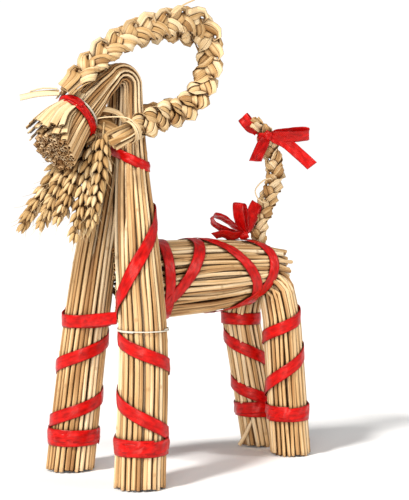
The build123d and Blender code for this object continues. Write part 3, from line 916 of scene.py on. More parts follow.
def horn_face(side):
    """The flat side of a horn looks outwards in its curve at the muzzle, and sideways at its tip."""
    middle = np.array([0.0, -15.0, 335.0])
    sideways = np.array([0.76 * SIDES[side], -0.65, 0.0])

    def face(points, share):
        outward = points - middle
        outward[:, 0] = 0
        turn = (math.pi / 2) * (0.35 + 0.65 * ease(share, 0.0, 0.3))
        return unit(outward) * np.cos(turn)[:, None] + sideways * np.sin(turn)[:, None]
    return face


# %% Horns
HORN_ROUTES = {
    "left": [(7, -119, 317), (9, -106, 329), (11, -87, 346), (14, -59, 364), (17, -26, 376), (19, 0, 380),
             (20, 17, 371), (20, 19, 346), (22, 8, 321), (26, -16, 304), (31, -46, 296), (33, -74, 285),
             (33, -93, 277)],
    "right": [(-7, -115, 314), (-9, -102, 326), (-10.5, -80, 345), (-13, -47, 364), (-13.5, -12, 375),
              (-13, 20, 376), (-12.5, 39, 367), (-12.5, 43, 343), (-15, 34, 317), (-22, 5, 303),
              (-31, -36, 297), (-34, -72, 286), (-34, -90, 278)],
}
HORN_PATHS = {side: smooth_curve(points) for side, points in HORN_ROUTES.items()}
for side in SIDES:
    guides = Guides()
    plait(guides, HORN_PATHS[side], rng, 8.2, 2.6, 48.0, horn_face(side), loose_end=22.0, splay=5.0)
    grow(guides, f"{side}_horn_straws", PLAITED, "plaited_straw", f"{side}_horn_plait", hollow=False)


# %% Tail
TAIL_PATH = smooth_curve([(0, 98, 188), (0, 97, 206), (0, 109, 230), (0, 117, 253), (0, 111, 275),
                          (0, 100, 292), (0, 88, 301)])


def tail_face(points, share):
    """The flat side of the tail looks the same way all along."""
    return np.tile(TOWARDS, (len(points), 1))


guides = Guides()
plait(guides, TAIL_PATH, rng, 5.9, 2.3, 40.0, tail_face, straws=2, straw_half=(2.9, 0.5), gap=4.8,
      loose_start=3.0, loose_end=9.0, splay=3.0)
grow(guides, "tail_straws", PLAITED, "plaited_straw", "tail_plait", hollow=False)


# %% [markdown]
# ## Straw ends and strays
# The horns' straws pass under the muzzle tie and end in a fan of flattened butts over the muzzle. A few
# strays stick out, and they matter: nothing that is tied by hand is quite tidy.

# %% Fan and stray straws
def on_muzzle(far, lift, across):
    """A point at a distance down the muzzle from the fold, lifted square to it, moved across it."""
    return FOLD_POINT + far * MUZZLE_AIM + lift * MUZZLE_LIFT + np.array([across, 0.0, 0.0])


def flat_straw(guides, path, face, half, thin, shade, step=5.0, taper=0.0):
    """A flattened straw along a dense path, its face turned one way."""
    length = distances(path)[-1]
    stops = np.linspace(0, length, max(4, int(length / step) + 1))
    centre = sample(path, stops)
    heads = headings(centre)
    flat = square_to(heads, face)
    wide = np.cross(heads, flat)
    share = stops / stops[-1]
    guides.add(centre, wide * (half * (1 - taper * share))[:, None], flat * thin, shade, along=stops)


FAN_LAYERS = (               # how many, lift at the tie and at the end, spread at the end
    (11, 21.5, 25.5, 22.0),
    (12, 19.3, 20.0, 25.0),
    (12, 17.5, 15.5, 26.0),
)
guides = Guides()
for number, lift_tie, lift_end, reach in FAN_LAYERS:
    for k in range(number):
        u = -1 + 2 * (k + rng.uniform(-0.2, 0.2)) / (number - 1)
        sag = 4.5 * u * u
        end_far = rng.uniform(73, 82)
        path = smooth_curve([on_muzzle(33, lift_tie - 1 - sag * 0.6, 6.5 * u),
                             on_muzzle(45, lift_tie - sag, 9.5 * u),
                             on_muzzle(60, (lift_tie + lift_end) / 2 + 1.5 - 1.3 * sag, 14.5 * u),
                             on_muzzle(end_far, lift_end - 1.8 * sag, reach * u)], 6)
        face = MUZZLE_LIFT + np.array([0.8 * u, 0, 0]) + 0.25 * rng.normal(size=3)
        flat_straw(guides, path, face, rng.uniform(2.3, 3.3), rng.uniform(0.5, 0.9), rng.uniform(0.6, 1.0),
                   taper=-0.12)
grow(guides, "fan_straws", PLAITED, "plaited_straw", "horn_straw_fan", wall=0.75, depth=2.0)


def lone_straw(name, skin, slot, nodes, points, face, half, thin, shade, per_run=8, step=1.5):
    """A piece that is one flattened straw."""
    guides = Guides()
    flat_straw(guides, smooth_curve(points, per_run), face, half, thin, shade, step=step)
    grow(guides, name, skin, slot, *nodes, hollow=False)


STRAYS = (                   # name, finish, plain shape, points, way it faces, half width, half height, shade
    ("flat_stray", PLAITED, "muzzle_flat_straw", [(-4, -118, 316), (-15, -130.5, 315), (-26, -141, 312)],
     TOWARDS + 0.3 * UP, 2.6, 0.4, 0.95),
    ("thin_stray", STRAW, "muzzle_thin_straw", [(-4, -120, 319), (-13, -128, 319.5), (-22, -134, 317)],
     UP, 0.6, 0.6, 0.8),
    ("horn_stray", PLAITED, "horn_stray_straw", [(27.5, -26, 383), (25.5, -13, 391.5), (22, 1, 397)],
     UP, 1.8, 0.45, 0.7),
)
for name, skin, shape, points, face, half, thin, shade in STRAYS:
    lone_straw(name, skin, "straw", [shape], points, face, half, thin, shade, per_run=6, step=5.0)
guides = Guides()
bent = smooth_curve([(-18, 105, 26), (-20.5, 101, 15), (-24.5, 95, 2.5)], 6)
guides.straw(bent, 1.8, 0.9, rng, step=3.0, knuckles=False)
grow(guides, "foot_stray", STRAW, "straw")
lone_straw("tail_fibre_loop", PLAITED, "straw", ["tail_stray_fibre"],
           [(1, 112, 246), (8, 103, 248), (9, 92, 245), (8.6, 84, 237), (9, 88, 229), (8, 97, 226),
            (1, 107, 228)], np.array([1.0, 0.0, 0.0]), 0.7, 0.3, 0.9)

# Dry leaf sheaths are caught in the tie under the throat, and one raffia end is looped round to a horn.
THROAT_LEAVES = (            # points, half width, shade
    ([(5, -100, 292), (8, -89, 303), (13, -73, 301), (15, -66, 293)], 3.4, 0.75),
    ([(3, -96, 296), (4, -86, 300), (2, -70, 302)], 4.2, 0.15),
    ([(4, -92, 290), (9, -82, 292), (15, -70, 285)], 4.6, 0.2),
    ([(-4, -92, 292), (0, -80, 296), (-2, -66, 294)], 4.8, 0.1),
    ([(7, -95, 291), (14, -84, 287), (20, -76, 280)], 2.2, 0.4),
)
guides = Guides()
for points, half, shade in THROAT_LEAVES:
    flat_straw(guides, smooth_curve(points, 8), TOWARDS + 0.6 * UP, half, 0.5, shade, step=2.5, taper=0.35)
grow(guides, "throat_leaves", PLAITED, "straw", hollow=False)
lone_straw("raffia_loop", RAFFIA, "raffia", [],
           [(5, -99, 292), (20, -92, 296), (36, -79, 295), (41.5, -76, 284), (35, -92, 274)],
           TOWARDS, 0.55, 0.25, 0.95)


# %% [markdown]
# ## Wheat ears
# The beard is six ears of wheat hung head down. An ear is a zigzag of spikelets, four husks to each,
# that overlap like tiles. One husk of a few dozen faces is modelled, and a second Geometry Nodes tree
# sets it on points that carry its direction and size.

# %% One husk and the tree that sets it
def husk_object():
    """A small pointed husk, 1 long, standing on the origin; its keel is on +X."""
    rings = ((0.0, 0.10), (0.14, 0.19), (0.38, 0.245), (0.64, 0.20), (0.85, 0.10), (1.0, 0.015))
    sides, keel_rise, flatness, real_length = 8, 0.22, 0.92, 0.009
    spots, rims, stations = [], [], []
    for height, radius in rings:
        for k in range(sides):
            angle = 2 * math.pi * k / sides
            keel = 1.0 + (keel_rise if k == 0 else 0.0)
            spots.append((radius * keel * math.cos(angle), radius * flatness * math.sin(angle), height))
            rims.append((math.cos(angle), math.sin(angle), 0.0))
            stations.append(height * real_length)
    faces = [tuple(reversed(range(sides)))]
    for level in range(len(rings) - 1):
        for k in range(sides):
            a, b = level * sides + k, level * sides + (k + 1) % sides
            faces.append((a, b, b + sides, a + sides))
    faces.append(tuple(range(len(spots) - sides, len(spots))))
    data = bpy.data.meshes.new("one_husk")
    data.from_pydata(spots, [], faces)
    vectors(data, "rim", rims)
    numbers(data, "along", stations)
    data.shade_smooth()
    return bpy.data.objects.new("one_husk", data)


def husk_tree():
    tree, start, end = new_group(
        "husks_on_points",
        [("Points", GEOMETRY, None), ("Husk", "NodeSocketObject", None),
         ("Skin", "NodeSocketMaterial", None)],
        [("Husks", GEOMETRY)], "GeometryNodeTree")
    husk = node(tree, "GeometryNodeObjectInfo", {"Object": start.outputs["Husk"]})
    turn = node(tree, "FunctionNodeAxesToRotation",
                {"Primary Axis": named(tree, "aim"), "Secondary Axis": named(tree, "outward")},
                primary_axis="Z", secondary_axis="X")
    placed = node(tree, "GeometryNodeInstanceOnPoints",
                  {"Points": start.outputs["Points"], "Instance": husk.outputs["Geometry"],
                   "Rotation": turn.outputs[0], "Scale": named(tree, "stretch")})
    last = node(tree, "GeometryNodeRealizeInstances", {"Geometry": placed.outputs[0]})
    last = without(tree, last, "aim", "outward", "stretch")
    skinned = node(tree, "GeometryNodeSetMaterial", {"Geometry": last.outputs[0],
                                                     "Material": start.outputs["Skin"]})
    tree.links.new(skinned.outputs[0], end.inputs["Husks"])
    return tree


ONE_HUSK = husk_object()
HUSK_TREE = husk_tree()
print("one husk has", len(ONE_HUSK.data.polygons), "faces")


# %% Hang the ears
EAR_ROOT = (-85.7, 289.8)    # y and z under the muzzle tie
EARS = (                     # tip, x of the stem's upper end, how far behind the tie it hangs
    ((-34, -136, 206), -22, 0), ((-17, -128, 208), -11, 0), ((1, -124, 212), 0, 0),
    ((17, -119, 199), 11, 0), ((27, -110, 210), 20, 0), ((8, -101, 204), 3, 9),
)
EAR_START = 0.12             # the share of the stem above the first husks
EAR_LEVELS = 15
HUSK_LONG, HUSK_WIDE = 12.5, 10.2
BRISTLE_SHARE = 0.4


def ear_rows(axis, rng):
    """Points of the husks on one ear: place, aim, outward, stretch and shade for each."""
    rows = []
    far = distances(axis)
    first, last = EAR_START * far[-1], far[-1] - 5.0
    turn0 = rng.uniform(0, 2 * math.pi)
    heads, sides = headings(axis), untwisted(axis)
    for level in range(EAR_LEVELS + 1):
        share = level / EAR_LEVELS
        stop = first + (last - first) * share
        spot = sample(axis, [stop])[0]
        k = int(np.clip(np.searchsorted(far, stop), 0, len(far) - 1))
        head, side = heads[k], sides[k]
        other = np.cross(head, side)
        fat = 0.66 + 0.34 * math.sin(math.pi * min(1.0, 0.18 + share * 0.78))
        base = turn0 + (math.pi if level % 2 else 0.0)
        for spread in (-62, -20, 22, 64) if level < EAR_LEVELS else (0, 120, 240):
            angle = base + math.radians(spread + rng.uniform(-7, 7))
            out = side * math.cos(angle) + other * math.sin(angle)
            tilt = math.radians(rng.uniform(17, 34)) * (1 if level < EAR_LEVELS else 0.35)
            aim = head * math.cos(tilt) + out * math.sin(tilt)
            long = HUSK_LONG * fat * rng.uniform(0.88, 1.12)
            wide = HUSK_WIDE * fat * rng.uniform(0.9, 1.12)
            rows.append((spot + out * 2.1 * fat, aim, out, (wide, wide, long), rng.beta(2.2, 2.2)))
    return rows


stems = Guides()
for number, (tip, root_x, behind) in enumerate(EARS, 1):
    root = np.array([root_x * 0.6, EAR_ROOT[0] + behind, EAR_ROOT[1] + 3])
    tip = np.array(tip, float)
    sway = rng.uniform(-2.5, 2.5, size=3)
    axis = smooth_curve([root, root + (tip - root) * 0.35 + sway,
                         root + (tip - root) * 0.7 + 0.5 * sway, tip], 10)
    rows = ear_rows(axis, rng)
    points = bpy.data.meshes.new("husk_points")
    points.from_pydata([tuple(row[0] * MM) for row in rows], [], [])
    for key, place in (("aim", 1), ("outward", 2), ("stretch", 3)):
        scale = MM if key == "stretch" else 1.0
        vectors(points, key, np.array([row[place] for row in rows], float) * scale)
    numbers(points, "shade", [row[4] for row in rows])
    name = f"wheat_husks_{number}"
    piece = run_tree(place_object("husk_points", points), HUSK_TREE, name, {"Husk": ONE_HUSK, "Skin": WHEAT})
    print(f"{name}: {len(rows)} husks, {triangles(piece)} triangles")
    finish_piece(piece, "wheat", f"wheat_ear_{number}")
    cut = int(len(axis) * 0.93)
    stems.straw(axis[:cut], 0.85, rng.uniform(0.4, 0.9), rng, step=8, knuckles=False)
    for spot, aim, out, stretch, shade in rows:
        if rng.random() < BRISTLE_SHARE:
            tip_spot = spot + aim * stretch[2] * 0.97
            hair = smooth_curve([tip_spot - aim, tip_spot + aim * rng.uniform(2, 5),
                                 tip_spot + (aim + 0.25 * out) * rng.uniform(6, 11)], 3)
            stems.straw(hair, np.linspace(0.24, 0.07, len(hair)), rng.uniform(0.6, 1.0), rng, step=3,
                        knuckles=False)
grow(stems, "wheat_stems", WHEAT, "wheat", hollow=False, rim_points=5)


# %% [markdown]
# ## Red satin ribbon
# Satin has long floating threads, so it shines in streaks along its length, and it has a tight woven
# edge. The finish paints that shine into the colour as brighter streaks, and paints the shade of its
# folds as broad darker patches. The finish reads `cloth`, which every ribbon mesh carries: millimetres
# across the ribbon, millimetres along it, and a number for each ribbon.

# %% Satin finish
RIBBON_WIDTH, RIBBON_THICK = 10.6, 0.36


def satin_threads():
    tree, start, end = new_group("satin_threads", [("Cloth", VECTOR, None), ("Half Width", FLOAT, 5.3)],
                                 [("Streak", FLOAT), ("Edge", FLOAT), ("Painted Fold Shade", FLOAT)])
    across, along, own = node(tree, "ShaderNodeSeparateXYZ", {0: start.outputs["Cloth"]}).outputs

    def stretched(by_across, by_along):
        return xyz(tree, maths(tree, "MULTIPLY", across, by_across),
                   maths(tree, "MULTIPLY", along, by_along), own)

    edge_at = maths(tree, "DIVIDE", maths(tree, "ABSOLUTE", across), start.outputs["Half Width"])
    # The streaks serve the relief, the gloss and a painted sheen in the colour; the last noise is a painted
    # shade of folds.
    tree.links.new(noise(tree, stretched(2.6, 0.16), 1.0, 3.0), end.inputs["Streak"])
    tree.links.new(fit_range(tree, edge_at, 0.84, 0.95), end.inputs["Edge"])
    tree.links.new(noise(tree, stretched(0.22, 0.09), 1.6, 2.0), end.inputs["Painted Fold Shade"])
    return tree


def satin_finish(name, deep, bright, edge):
    paint, tree, shader = new_paint(name)
    threads = use_group(tree, SATIN_THREADS, {"Cloth": attribute(tree, "cloth")[0],
                                              "Half Width": RIBBON_WIDTH / 2}).outputs
    # Painted sheen and shade: the colour runs from deep to bright red with the painted fold shade and the
    # streaks of shine.
    tone = maths(tree, "MULTIPLY_ADD", threads["Painted Fold Shade"], 0.65,
                 maths(tree, "MULTIPLY", threads["Streak"], 0.35))
    colour = colour_ramp(tree, fit_range(tree, tone, 0.34, 0.64), ((0.0, deep), (1.0, bright)))
    colour = mix_colour(tree, maths(tree, "MULTIPLY", threads["Edge"], 0.6), colour, edge)
    tree.links.new(colour, shader.inputs["Base Color"])
    tree.links.new(fit_range(tree, threads["Streak"], 0.25, 0.75, 0.24, 0.42), shader.inputs["Roughness"])
    shader.inputs["Specular IOR Level"].default_value = 0.38
    shader.inputs["Specular Tint"].default_value = (1.0, 0.55, 0.5, 1.0)
    height = maths(tree, "ADD", threads["Streak"], maths(tree, "MULTIPLY", threads["Edge"], 0.8))
    add_relief(tree, shader, height, 0.35, 0.0003)
    return paint


SATIN_THREADS = satin_threads()
SATIN = satin_finish("red_satin", (0.28, 0.001, 0.001), (0.62, 0.004, 0.003), (0.20, 0.001, 0.001))


# %% [markdown]
# ## Laying ribbon
# A ribbon is a long strip with two faces and real edges. Each row of points is laid along a path: out
# from the straw by half the ribbon's thickness, a little crowned, with small wrinkles. Rings round a
# bundle and windings down a leg only differ in their paths.

# %% Ribbon helpers
class Ribbon:
    """Strips of ribbon that make one piece, in millimetres until the mesh is made."""

    def __init__(self):
        self.spots, self.cloth, self.faces = [], [], []
        self.length = 0.0

    def lay(self, path, rng, outward=None, wide=None, width=RIBBON_WIDTH, wrinkle=0.22, crown=0.25, pinch=(),
            pinch_to=0.5, slant=0.0, pleat=0.0, columns=9, step=1.5):
        """One strip along a dense path, facing outward, or with its width along wide."""
        far = distances(path)
        stops = np.linspace(0, far[-1], max(6, int(far[-1] / step)))
        centre = sample(path, stops)
        heads = headings(centre)
        if wide is None:
            out = square_to(heads, read_at(stops, far, outward))
            across = np.cross(heads, out)
        else:
            wide = np.broadcast_to(np.asarray(wide, float), (len(path), 3))
            across = square_to(heads, read_at(stops, far, wide))
            out = np.cross(across, heads)
        narrow = np.ones(len(stops))
        for place in pinch:
            near = np.exp(-((stops - place * far[-1]) / 5.0) ** 2)
            narrow = np.minimum(narrow, 1 - (1 - pinch_to) * near)
        a, b, c, d = rng.uniform(0, 2 * math.pi, size=4)
        seed = rng.uniform(0, 50)
        v = np.linspace(-1, 1, columns)
        s = stops[:, None]
        height = crown * (1 - v ** 2)[None, :] + wrinkle * (
            0.55 * np.sin(2 * math.pi * s / 21 + a) * v + 0.35 * np.sin(2 * math.pi * s / 8.5 + 2.2 * v + b)
            + 0.45 * np.sin(2 * math.pi * s / 33 + 3.4 * v + c) + 0.25 * np.sin(5.5 * v + s / 9 + d))
        height = height + (pleat + (1 - narrow) * 1.1)[:, None] * np.cos(2.5 * math.pi * v)[None, :]
        shift = slant * (s / far[-1]) ** 8 * v[None, :]
        middle = (centre[:, None] + across[:, None] * (v[None, :] * (width / 2) * narrow[:, None])[..., None]
                  + out[:, None] * height[..., None] + heads[:, None] * shift[..., None])
        base, rows = sum(len(block) for block in self.spots), len(stops)
        for face in (1, -1):
            self.spots.append((middle + out[:, None] * (face * RIBBON_THICK / 2)).reshape(-1, 3))
            u = np.broadcast_to(v * width / 2, (rows, columns))
            along = np.broadcast_to(s + self.length, (rows, columns))
            self.cloth.append(np.stack([u, along, np.full((rows, columns), seed)], axis=-1).reshape(-1, 3))
        top = base + np.arange(rows * columns).reshape(rows, columns)
        low = top + rows * columns
        for i in range(rows - 1):
            for j in range(columns - 1):
                self.faces.append((top[i, j], top[i, j + 1], top[i + 1, j + 1], top[i + 1, j]))
                self.faces.append((low[i, j], low[i + 1, j], low[i + 1, j + 1], low[i, j + 1]))
            self.faces.append((top[i, 0], top[i + 1, 0], low[i + 1, 0], low[i, 0]))
            self.faces.append((top[i, -1], low[i, -1], low[i + 1, -1], top[i + 1, -1]))
        for j in range(columns - 1):
            self.faces.append((top[0, j], low[0, j], low[0, j + 1], top[0, j + 1]))
            self.faces.append((top[-1, j], top[-1, j + 1], low[-1, j + 1], low[-1, j]))
        self.length += far[-1]

    def piece(self, name, held, rests_on, *nodes):
        """Make the mesh piece, and print how much ribbon it took."""
        data = bpy.data.meshes.new(name)
        spots = np.concatenate(self.spots) * MM
        data.from_pydata(spots.tolist(), [], [tuple(int(k) for k in face) for face in self.faces])
        vectors(data, "cloth", np.concatenate(self.cloth))
        data.shade_smooth()
        data.materials.append(SATIN)
        thing = place_object(name, data)
        finish_piece(thing, "red_satin_ribbon", *nodes)
        print(f"{name}: {self.length:.0f} mm of ribbon, {triangles(thing)} triangles")


# %% Ribbon round the legs
def front_disc(z, side):
    """Middle and radius of a front bundle at a height."""
    x, y, r = (hermite(z, FRONT_DISCS[:, 2], FRONT_DISCS[:, k]) for k in (0, 1, 3))
    return x * SIDES[side], y, r


def rear_disc(z, side):
    """Middle and radius of a rear leg at a height."""
    discs = REAR_DISCS[side]
    x, y, r = (np.interp(z, discs[:, 2], discs[:, k]) for k in (0, 1, 3))
    return x * SIDES[side], y, r


def winding(disc, side, turns, lift=0.45):
    """A winding down a leg through (angle in degrees, height), and the way that it faces."""
    turns = np.array(turns, float)
    angle = np.linspace(turns[0, 0], turns[-1, 0], int(abs(turns[-1, 0] - turns[0, 0]) / 6))
    order = np.argsort(turns[:, 0])
    z = np.interp(angle, turns[order, 0], turns[order, 1])
    z = np.convolve(np.pad(z, 4, mode="edge"), np.ones(9) / 9, mode="valid")
    x, y, r = disc(z, side)
    out = level_ways(np.radians(angle))
    return np.stack([x, y, z], axis=1) + out * (r + lift)[:, None], out


LEG_WINDINGS = {
    "front_left": (front_disc, [(-230, 130), (-130, 121), (50, 95.5), (230, 74), (410, 41), (560, 33.5),
                                (680, 32), (1010, 32)]),
    "front_right": (front_disc, [(230, 129), (50, 128), (-200, 127), (-310, 112), (-490, 87), (-670, 64),
                                 (-850, 40), (-1000, 28), (-1400, 27)]),
    "rear_left": (rear_disc, [(140, 134), (50, 128), (-130, 105), (-310, 96), (-490, 59), (-650, 42),
                              (-760, 38), (-1180, 37)]),
    "rear_right": (rear_disc, [(-310, 121), (-130, 121), (60, 120), (230, 106), (410, 78), (590, 62),
                               (770, 39), (900, 34.5), (1250, 34)]),
}
for leg, (disc, turns) in LEG_WINDINGS.items():
    ribbon = Ribbon()
    side = leg.split("_")[1]
    path, out = winding(disc, side, turns)
    ribbon.lay(path, rng, outward=out)
    # A second, looser turn over the last one, as the end is wound back on itself and tucked in.
    degrees, low = turns[-1]
    extra = [(degrees, low), (degrees + 180, low + 5.0), (degrees + 420, low + 3.0)]
    path, out = winding(disc, side, extra, lift=1.0)
    ribbon.lay(path, rng, outward=out, wrinkle=0.55)
    ribbon.piece(f"{leg}_winding", "stretched", [f"{leg}_straws"], f"{leg}_leg_ribbon")


# %% Rings of ribbon round the neck and the body
def neck_ring(height, tilt_x, tilt_y, lift=0.55):
    """A slanted ring round both halves of the neck: z = height + tilt_x x + tilt_y y."""
    angle = np.radians(np.linspace(90, 456, 240))
    way = np.sign(np.cos(angle))
    z = np.full(len(angle), height + tilt_y * NECK_TOP[1])
    for _ in range(25):
        x0, y0, r = front_disc(z, "left")
        x = way * x0 + (r + lift) * np.cos(angle)
        y = y0 + (r + lift) * np.sin(angle)
        z = 0.5 * z + 0.5 * (height + tilt_x * x + tilt_y * y)
    return np.stack([x, y, z], axis=1), level_ways(angle)


BACK_HEIGHT = 195.0
BELLY_START, BELLY_END = -100.0, 272.0    # degrees: the ring's ends overlap under the belly


def body_ring(y_back, normal, lift):
    """A slanted ring round the body, where a plane through the back at y_back cuts it."""
    angle = np.radians(np.linspace(BELLY_START, BELLY_END, 200))
    y = np.full(len(angle), y_back)
    for _ in range(30):
        r = body_radius(y) + lift
        x, z = r * np.cos(angle), body_axis(y) + r * np.sin(angle)
        y = 0.5 * y + 0.5 * (y_back - normal[0] * x - normal[2] * (z - BACK_HEIGHT))
    out = np.stack([np.cos(angle), np.zeros(len(angle)), np.sin(angle)], axis=1)
    return np.stack([x, y, z], axis=1), out


NECK_STRAWS = ["front_left_straws", "front_right_straws"]
ribbon = Ribbon()
path, out = neck_ring(247.7, -0.30, -0.33)
ribbon.lay(path, rng, outward=out, wrinkle=0.5, width=8.0, crown=0.6)
ribbon.piece("upper_neck_band", "stretched", NECK_STRAWS, "upper_neck_ribbon")


def on_bundle(side, degrees, z, lift):
    """A point on a front bundle's skin, and the way out from it."""
    x, y, r = front_disc(np.array([z], float), side)
    out = level_ways(np.radians([degrees]))[0]
    return np.array([x[0], y[0], z]) + out * (r[0] + lift), out


def chest_path(lift=0.9):
    """Over the withers, down across the left bundle, through under the throat, and up behind."""
    left = [(90, 223), (49, 219), (10, 204), (-40, 180), (-85, 156), (-120, 144), (-150, 134)]
    right = [(-52, 128), (-90, 128), (-130, 128), (-160, 132), (-190, 150), (-225, 190), (-272, 224)]
    spots, ways = [], []
    for side, turns in (("left", left), ("right", right)):
        turns = np.array(turns, float)[::-1]
        for degrees in np.arange(turns[-1, 0], turns[0, 0] - 1, -4.0):
            spot, out = on_bundle(side, degrees, np.interp(degrees, turns[:, 0], turns[:, 1]), lift)
            spots.append(spot)
            ways.append(out)
    return np.array(spots + spots[:2]), np.array(ways + ways[:2])


ribbon = Ribbon()
path, out = chest_path()
ribbon.lay(path, rng, outward=out, wrinkle=0.3)
ribbon.piece("chest_band", "stretched", NECK_STRAWS, "chest_ribbon")

BODY_TURNS = (               # where it crosses the back, how it slants, how high it lies
    (-20.0, (0.41, 1.0, 0.0), 0.5), (15.0, (0.0, 1.0, -0.95), 0.5), (24.0, (-0.6, 1.0, 0.7), 0.5),
    (78.0, (-1.0, 1.0, -0.55), 0.92),
)
ribbon = Ribbon()
for turn in BODY_TURNS:
    path, out = body_ring(*turn)
    ribbon.lay(path, rng, outward=out, wrinkle=0.3)
ribbon.piece("body_bands", "stretched", ["body_straws"], "body_ribbon")


# %% Muzzle tie, threads and raffia
def muzzle_ring(far, half_wide, half_high, middle, turns=1.03, climb=0.0, start=-1.2):
    """A ring round the muzzle, and the way that it faces."""
    angle = np.linspace(start, start + 2 * math.pi * turns, int(70 * turns))
    share = np.linspace(-0.5, 0.5, len(angle))
    across = half_wide * np.cos(angle)
    lift = middle + half_high * np.sin(angle)
    path = np.array([on_muzzle(far + climb * p, a, b) for p, a, b in zip(share, lift, across)])
    return path, circle(0.0, 1.0, (1.0, 0.0, 0.0), MUZZLE_LIFT, angle)


MUZZLE_TURNS = (             # the ring, then the ribbon's width and wrinkles and how it is crowned
    (dict(far=45.5, half_wide=16.6, half_high=18.0, middle=4.6), dict(width=6.4, wrinkle=0.55, crown=0.8)),
    (dict(far=44.6, half_wide=17.1, half_high=18.6, middle=4.6, climb=2.0, turns=0.9, start=0.5),
     dict(width=5.6, wrinkle=0.6, crown=0.9)),
)
ribbon = Ribbon()
for ring, lay in MUZZLE_TURNS:
    path, out = muzzle_ring(**ring)
    ribbon.lay(path, rng, outward=out, pleat=0.6, columns=15, **lay)
ribbon.piece("muzzle_tie", "gathered", ["muzzle_straws", "fan_straws"], "muzzle_ribbon")

THREADS = (                  # name, path, half thickness, shade, distance between points, plain shape
    ("muzzle_string", muzzle_ring(40.5, 16.6, 17.6, 5.2, turns=2.1, climb=1.6)[0], 0.38, 0.6, 2.0,
     "muzzle_thread"),
    ("leg_string", winding(front_disc, "left", [(-60, 124.6), (-420, 125.2), (-700, 126.4)], lift=0.6)[0],
     0.5, 0.7, 2.5, "front_left_leg_thread"),
)
for name, path, half, shade, step, shape in THREADS:
    guides = Guides()
    guides.straw(path, half, shade, rng, step=step, knuckles=False)
    grow(guides, name, THREAD, "pale_thread", shape, hollow=False, rim_points=6)

RAFFIA_TURNS, RAFFIA_GAP, RAFFIA_FROM_END = 4, 1.6, 23.0
for side in SIDES:
    path = HORN_PATHS[side]
    length = distances(path)[-1]
    ahead = unit(sample(path, [length - 12.0])[0] - sample(path, [length - 30.0])[0])
    across = unit(np.cross(ahead, UP))
    over = np.cross(across, ahead)
    angle = np.linspace(0, 2 * math.pi, 30)
    guides = Guides()
    for turn in range(RAFFIA_TURNS):
        spot = sample(path, [length - RAFFIA_FROM_END + RAFFIA_GAP * turn])[0]
        radius = 8.2 + rng.uniform(0, 0.8)
        ring = spot + np.outer(radius * 1.05 * np.cos(angle), across) + np.outer(radius * np.sin(angle), over)
        ring = ring + np.outer(rng.uniform(-1.2, 1.2) * np.sin(angle + rng.uniform(0, 6)), ahead)
        out = unit(ring - spot)
        guides.add(ring, np.cross(headings(ring), out) * 0.9, out * 0.3, rng.uniform(0.5, 1.0))
    grow(guides, f"{side}_horn_tie", RAFFIA, "raffia", f"{side}_horn_raffia", hollow=False)


# %% [markdown]
# ## Bows
# A bow is two or three loops and two tails, all held at a knot. Ribbon is wide and stiff across, so a
# loop can't twist: it swells at its end and is pinched into pleats at the knot.

# %% Tie the bows
def loop(ribbon, knot, tip, swell, wide, rng):
    """One loop of a bow; swell is the half height of its open end, as a vector."""
    knot, tip, swell, wide = (np.asarray(v, float) for v in (knot, tip, swell, wide))
    size, wide = np.linalg.norm(swell), unit(wide)
    swell = size * unit(swell - wide * np.dot(swell, wide))
    reach = tip - knot
    path = smooth_curve([knot, knot + 0.3 * reach + 0.55 * swell, knot + 0.68 * reach + swell,
                         knot + 0.95 * reach + 0.6 * swell, tip, knot + 0.93 * reach - 0.7 * swell,
                         knot + 0.62 * reach - 0.85 * swell, knot + 0.28 * reach - 0.45 * swell, knot], 6)
    ribbon.lay(path, rng, wide=wide, wrinkle=0.35, crown=0.1, pinch=(0.0, 1.0), pinch_to=0.42, step=1.2)


def tail(ribbon, points, wide, rng, slant=5.0):
    """A loose end of a bow, cut on the slant."""
    ribbon.lay(smooth_curve(points, 8), rng, wide=wide, wrinkle=0.35, crown=0.2, pinch=(0.0,), pinch_to=0.45,
               slant=slant, step=1.2)


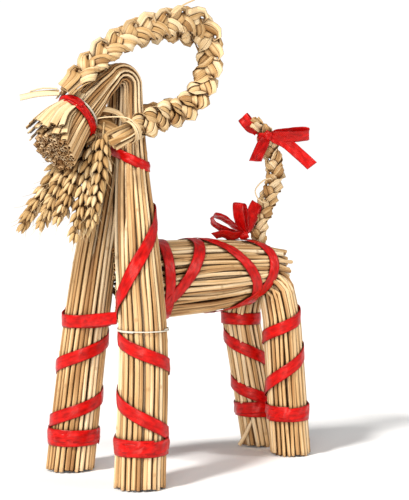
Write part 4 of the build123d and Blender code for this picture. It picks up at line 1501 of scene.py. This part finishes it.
def knot_wrap(ribbon, middle, axis, radius, rng):
    """The short crumpled turn that hides the meeting of the loops."""
    axis = unit(np.asarray(axis, float))
    first = unit(np.cross(axis, [0.3, 0.5, 0.8]))
    second = np.cross(axis, first)
    ring = circle(middle, radius, first, second, np.linspace(0, 2.05 * math.pi, 30))
    ribbon.lay(ring, rng, outward=ring - middle, width=8.0, wrinkle=0.5, crown=0.7, step=1.0)


ribbon = Ribbon()
knot = np.array([2.0, 76.0, 197.5])
loop(ribbon, knot, (1, 40, 213), 5.5 * UP + 1.0 * SIDEWAYS, TOWARDS + 0.45 * UP + 0.3 * SIDEWAYS, rng)
loop(ribbon, knot, (3, 70, 226), 4.5 * TOWARDS - 2.0 * SIDEWAYS, SIDEWAYS + 0.5 * TOWARDS - 0.1 * UP, rng)
loop(ribbon, knot, (-2, 96, 225), 4.0 * TOWARDS + 2.0 * UP, 0.8 * SIDEWAYS - 0.55 * UP + 0.3 * TOWARDS, rng)
tail(ribbon, [knot, (3, 62, 197), (2, 52, 199), (1, 42, 197)], TOWARDS + 0.8 * UP, rng)
tail(ribbon, [knot, (-6, 84, 198), (-12, 92, 200), (-18, 97, 196)], TOWARDS - 0.6 * UP, rng)
knot_wrap(ribbon, knot, SIDEWAYS + 0.3 * UP, 3.4, rng)
ribbon.piece("back_bow_satin", "gathered", ["body_straws"], "back_bow")

ribbon = Ribbon()
knot = np.array([8.5, 99.0, 286.0])
loop(ribbon, knot, (29, 131, 288), 3.0 * TOWARDS + 3.5 * UP, UP + 0.6 * TOWARDS, rng)
loop(ribbon, (-4, 97, 288), (-8, 84, 303), 4.0 * TOWARDS, 0.68 * UP + 0.73 * SIDEWAYS + 0.2 * TOWARDS, rng)
tail(ribbon, [knot, (17, 111, 281), (25, 122, 270), (32, 132, 259)], SIDEWAYS * 0.66 + UP * 0.75, rng,
     slant=1.0)
tail(ribbon, [knot, (11, 92, 280), (12, 86, 272), (14, 79, 263)], SIDEWAYS * 0.87 - UP * 0.49, rng,
     slant=-2.5)
knot_wrap(ribbon, knot, SIDEWAYS * 0.5 + 0.8 * UP, 3.4, rng)
out = level_ways(np.radians(np.linspace(-40, 330, 40)))
ribbon.lay(np.array([0.0, 104.5, 285.0]) + out * 7.4, rng, outward=out, width=7.5, wrinkle=0.4)
ribbon.piece("tail_bow_satin", "gathered", ["tail_straws"], "tail_bow")
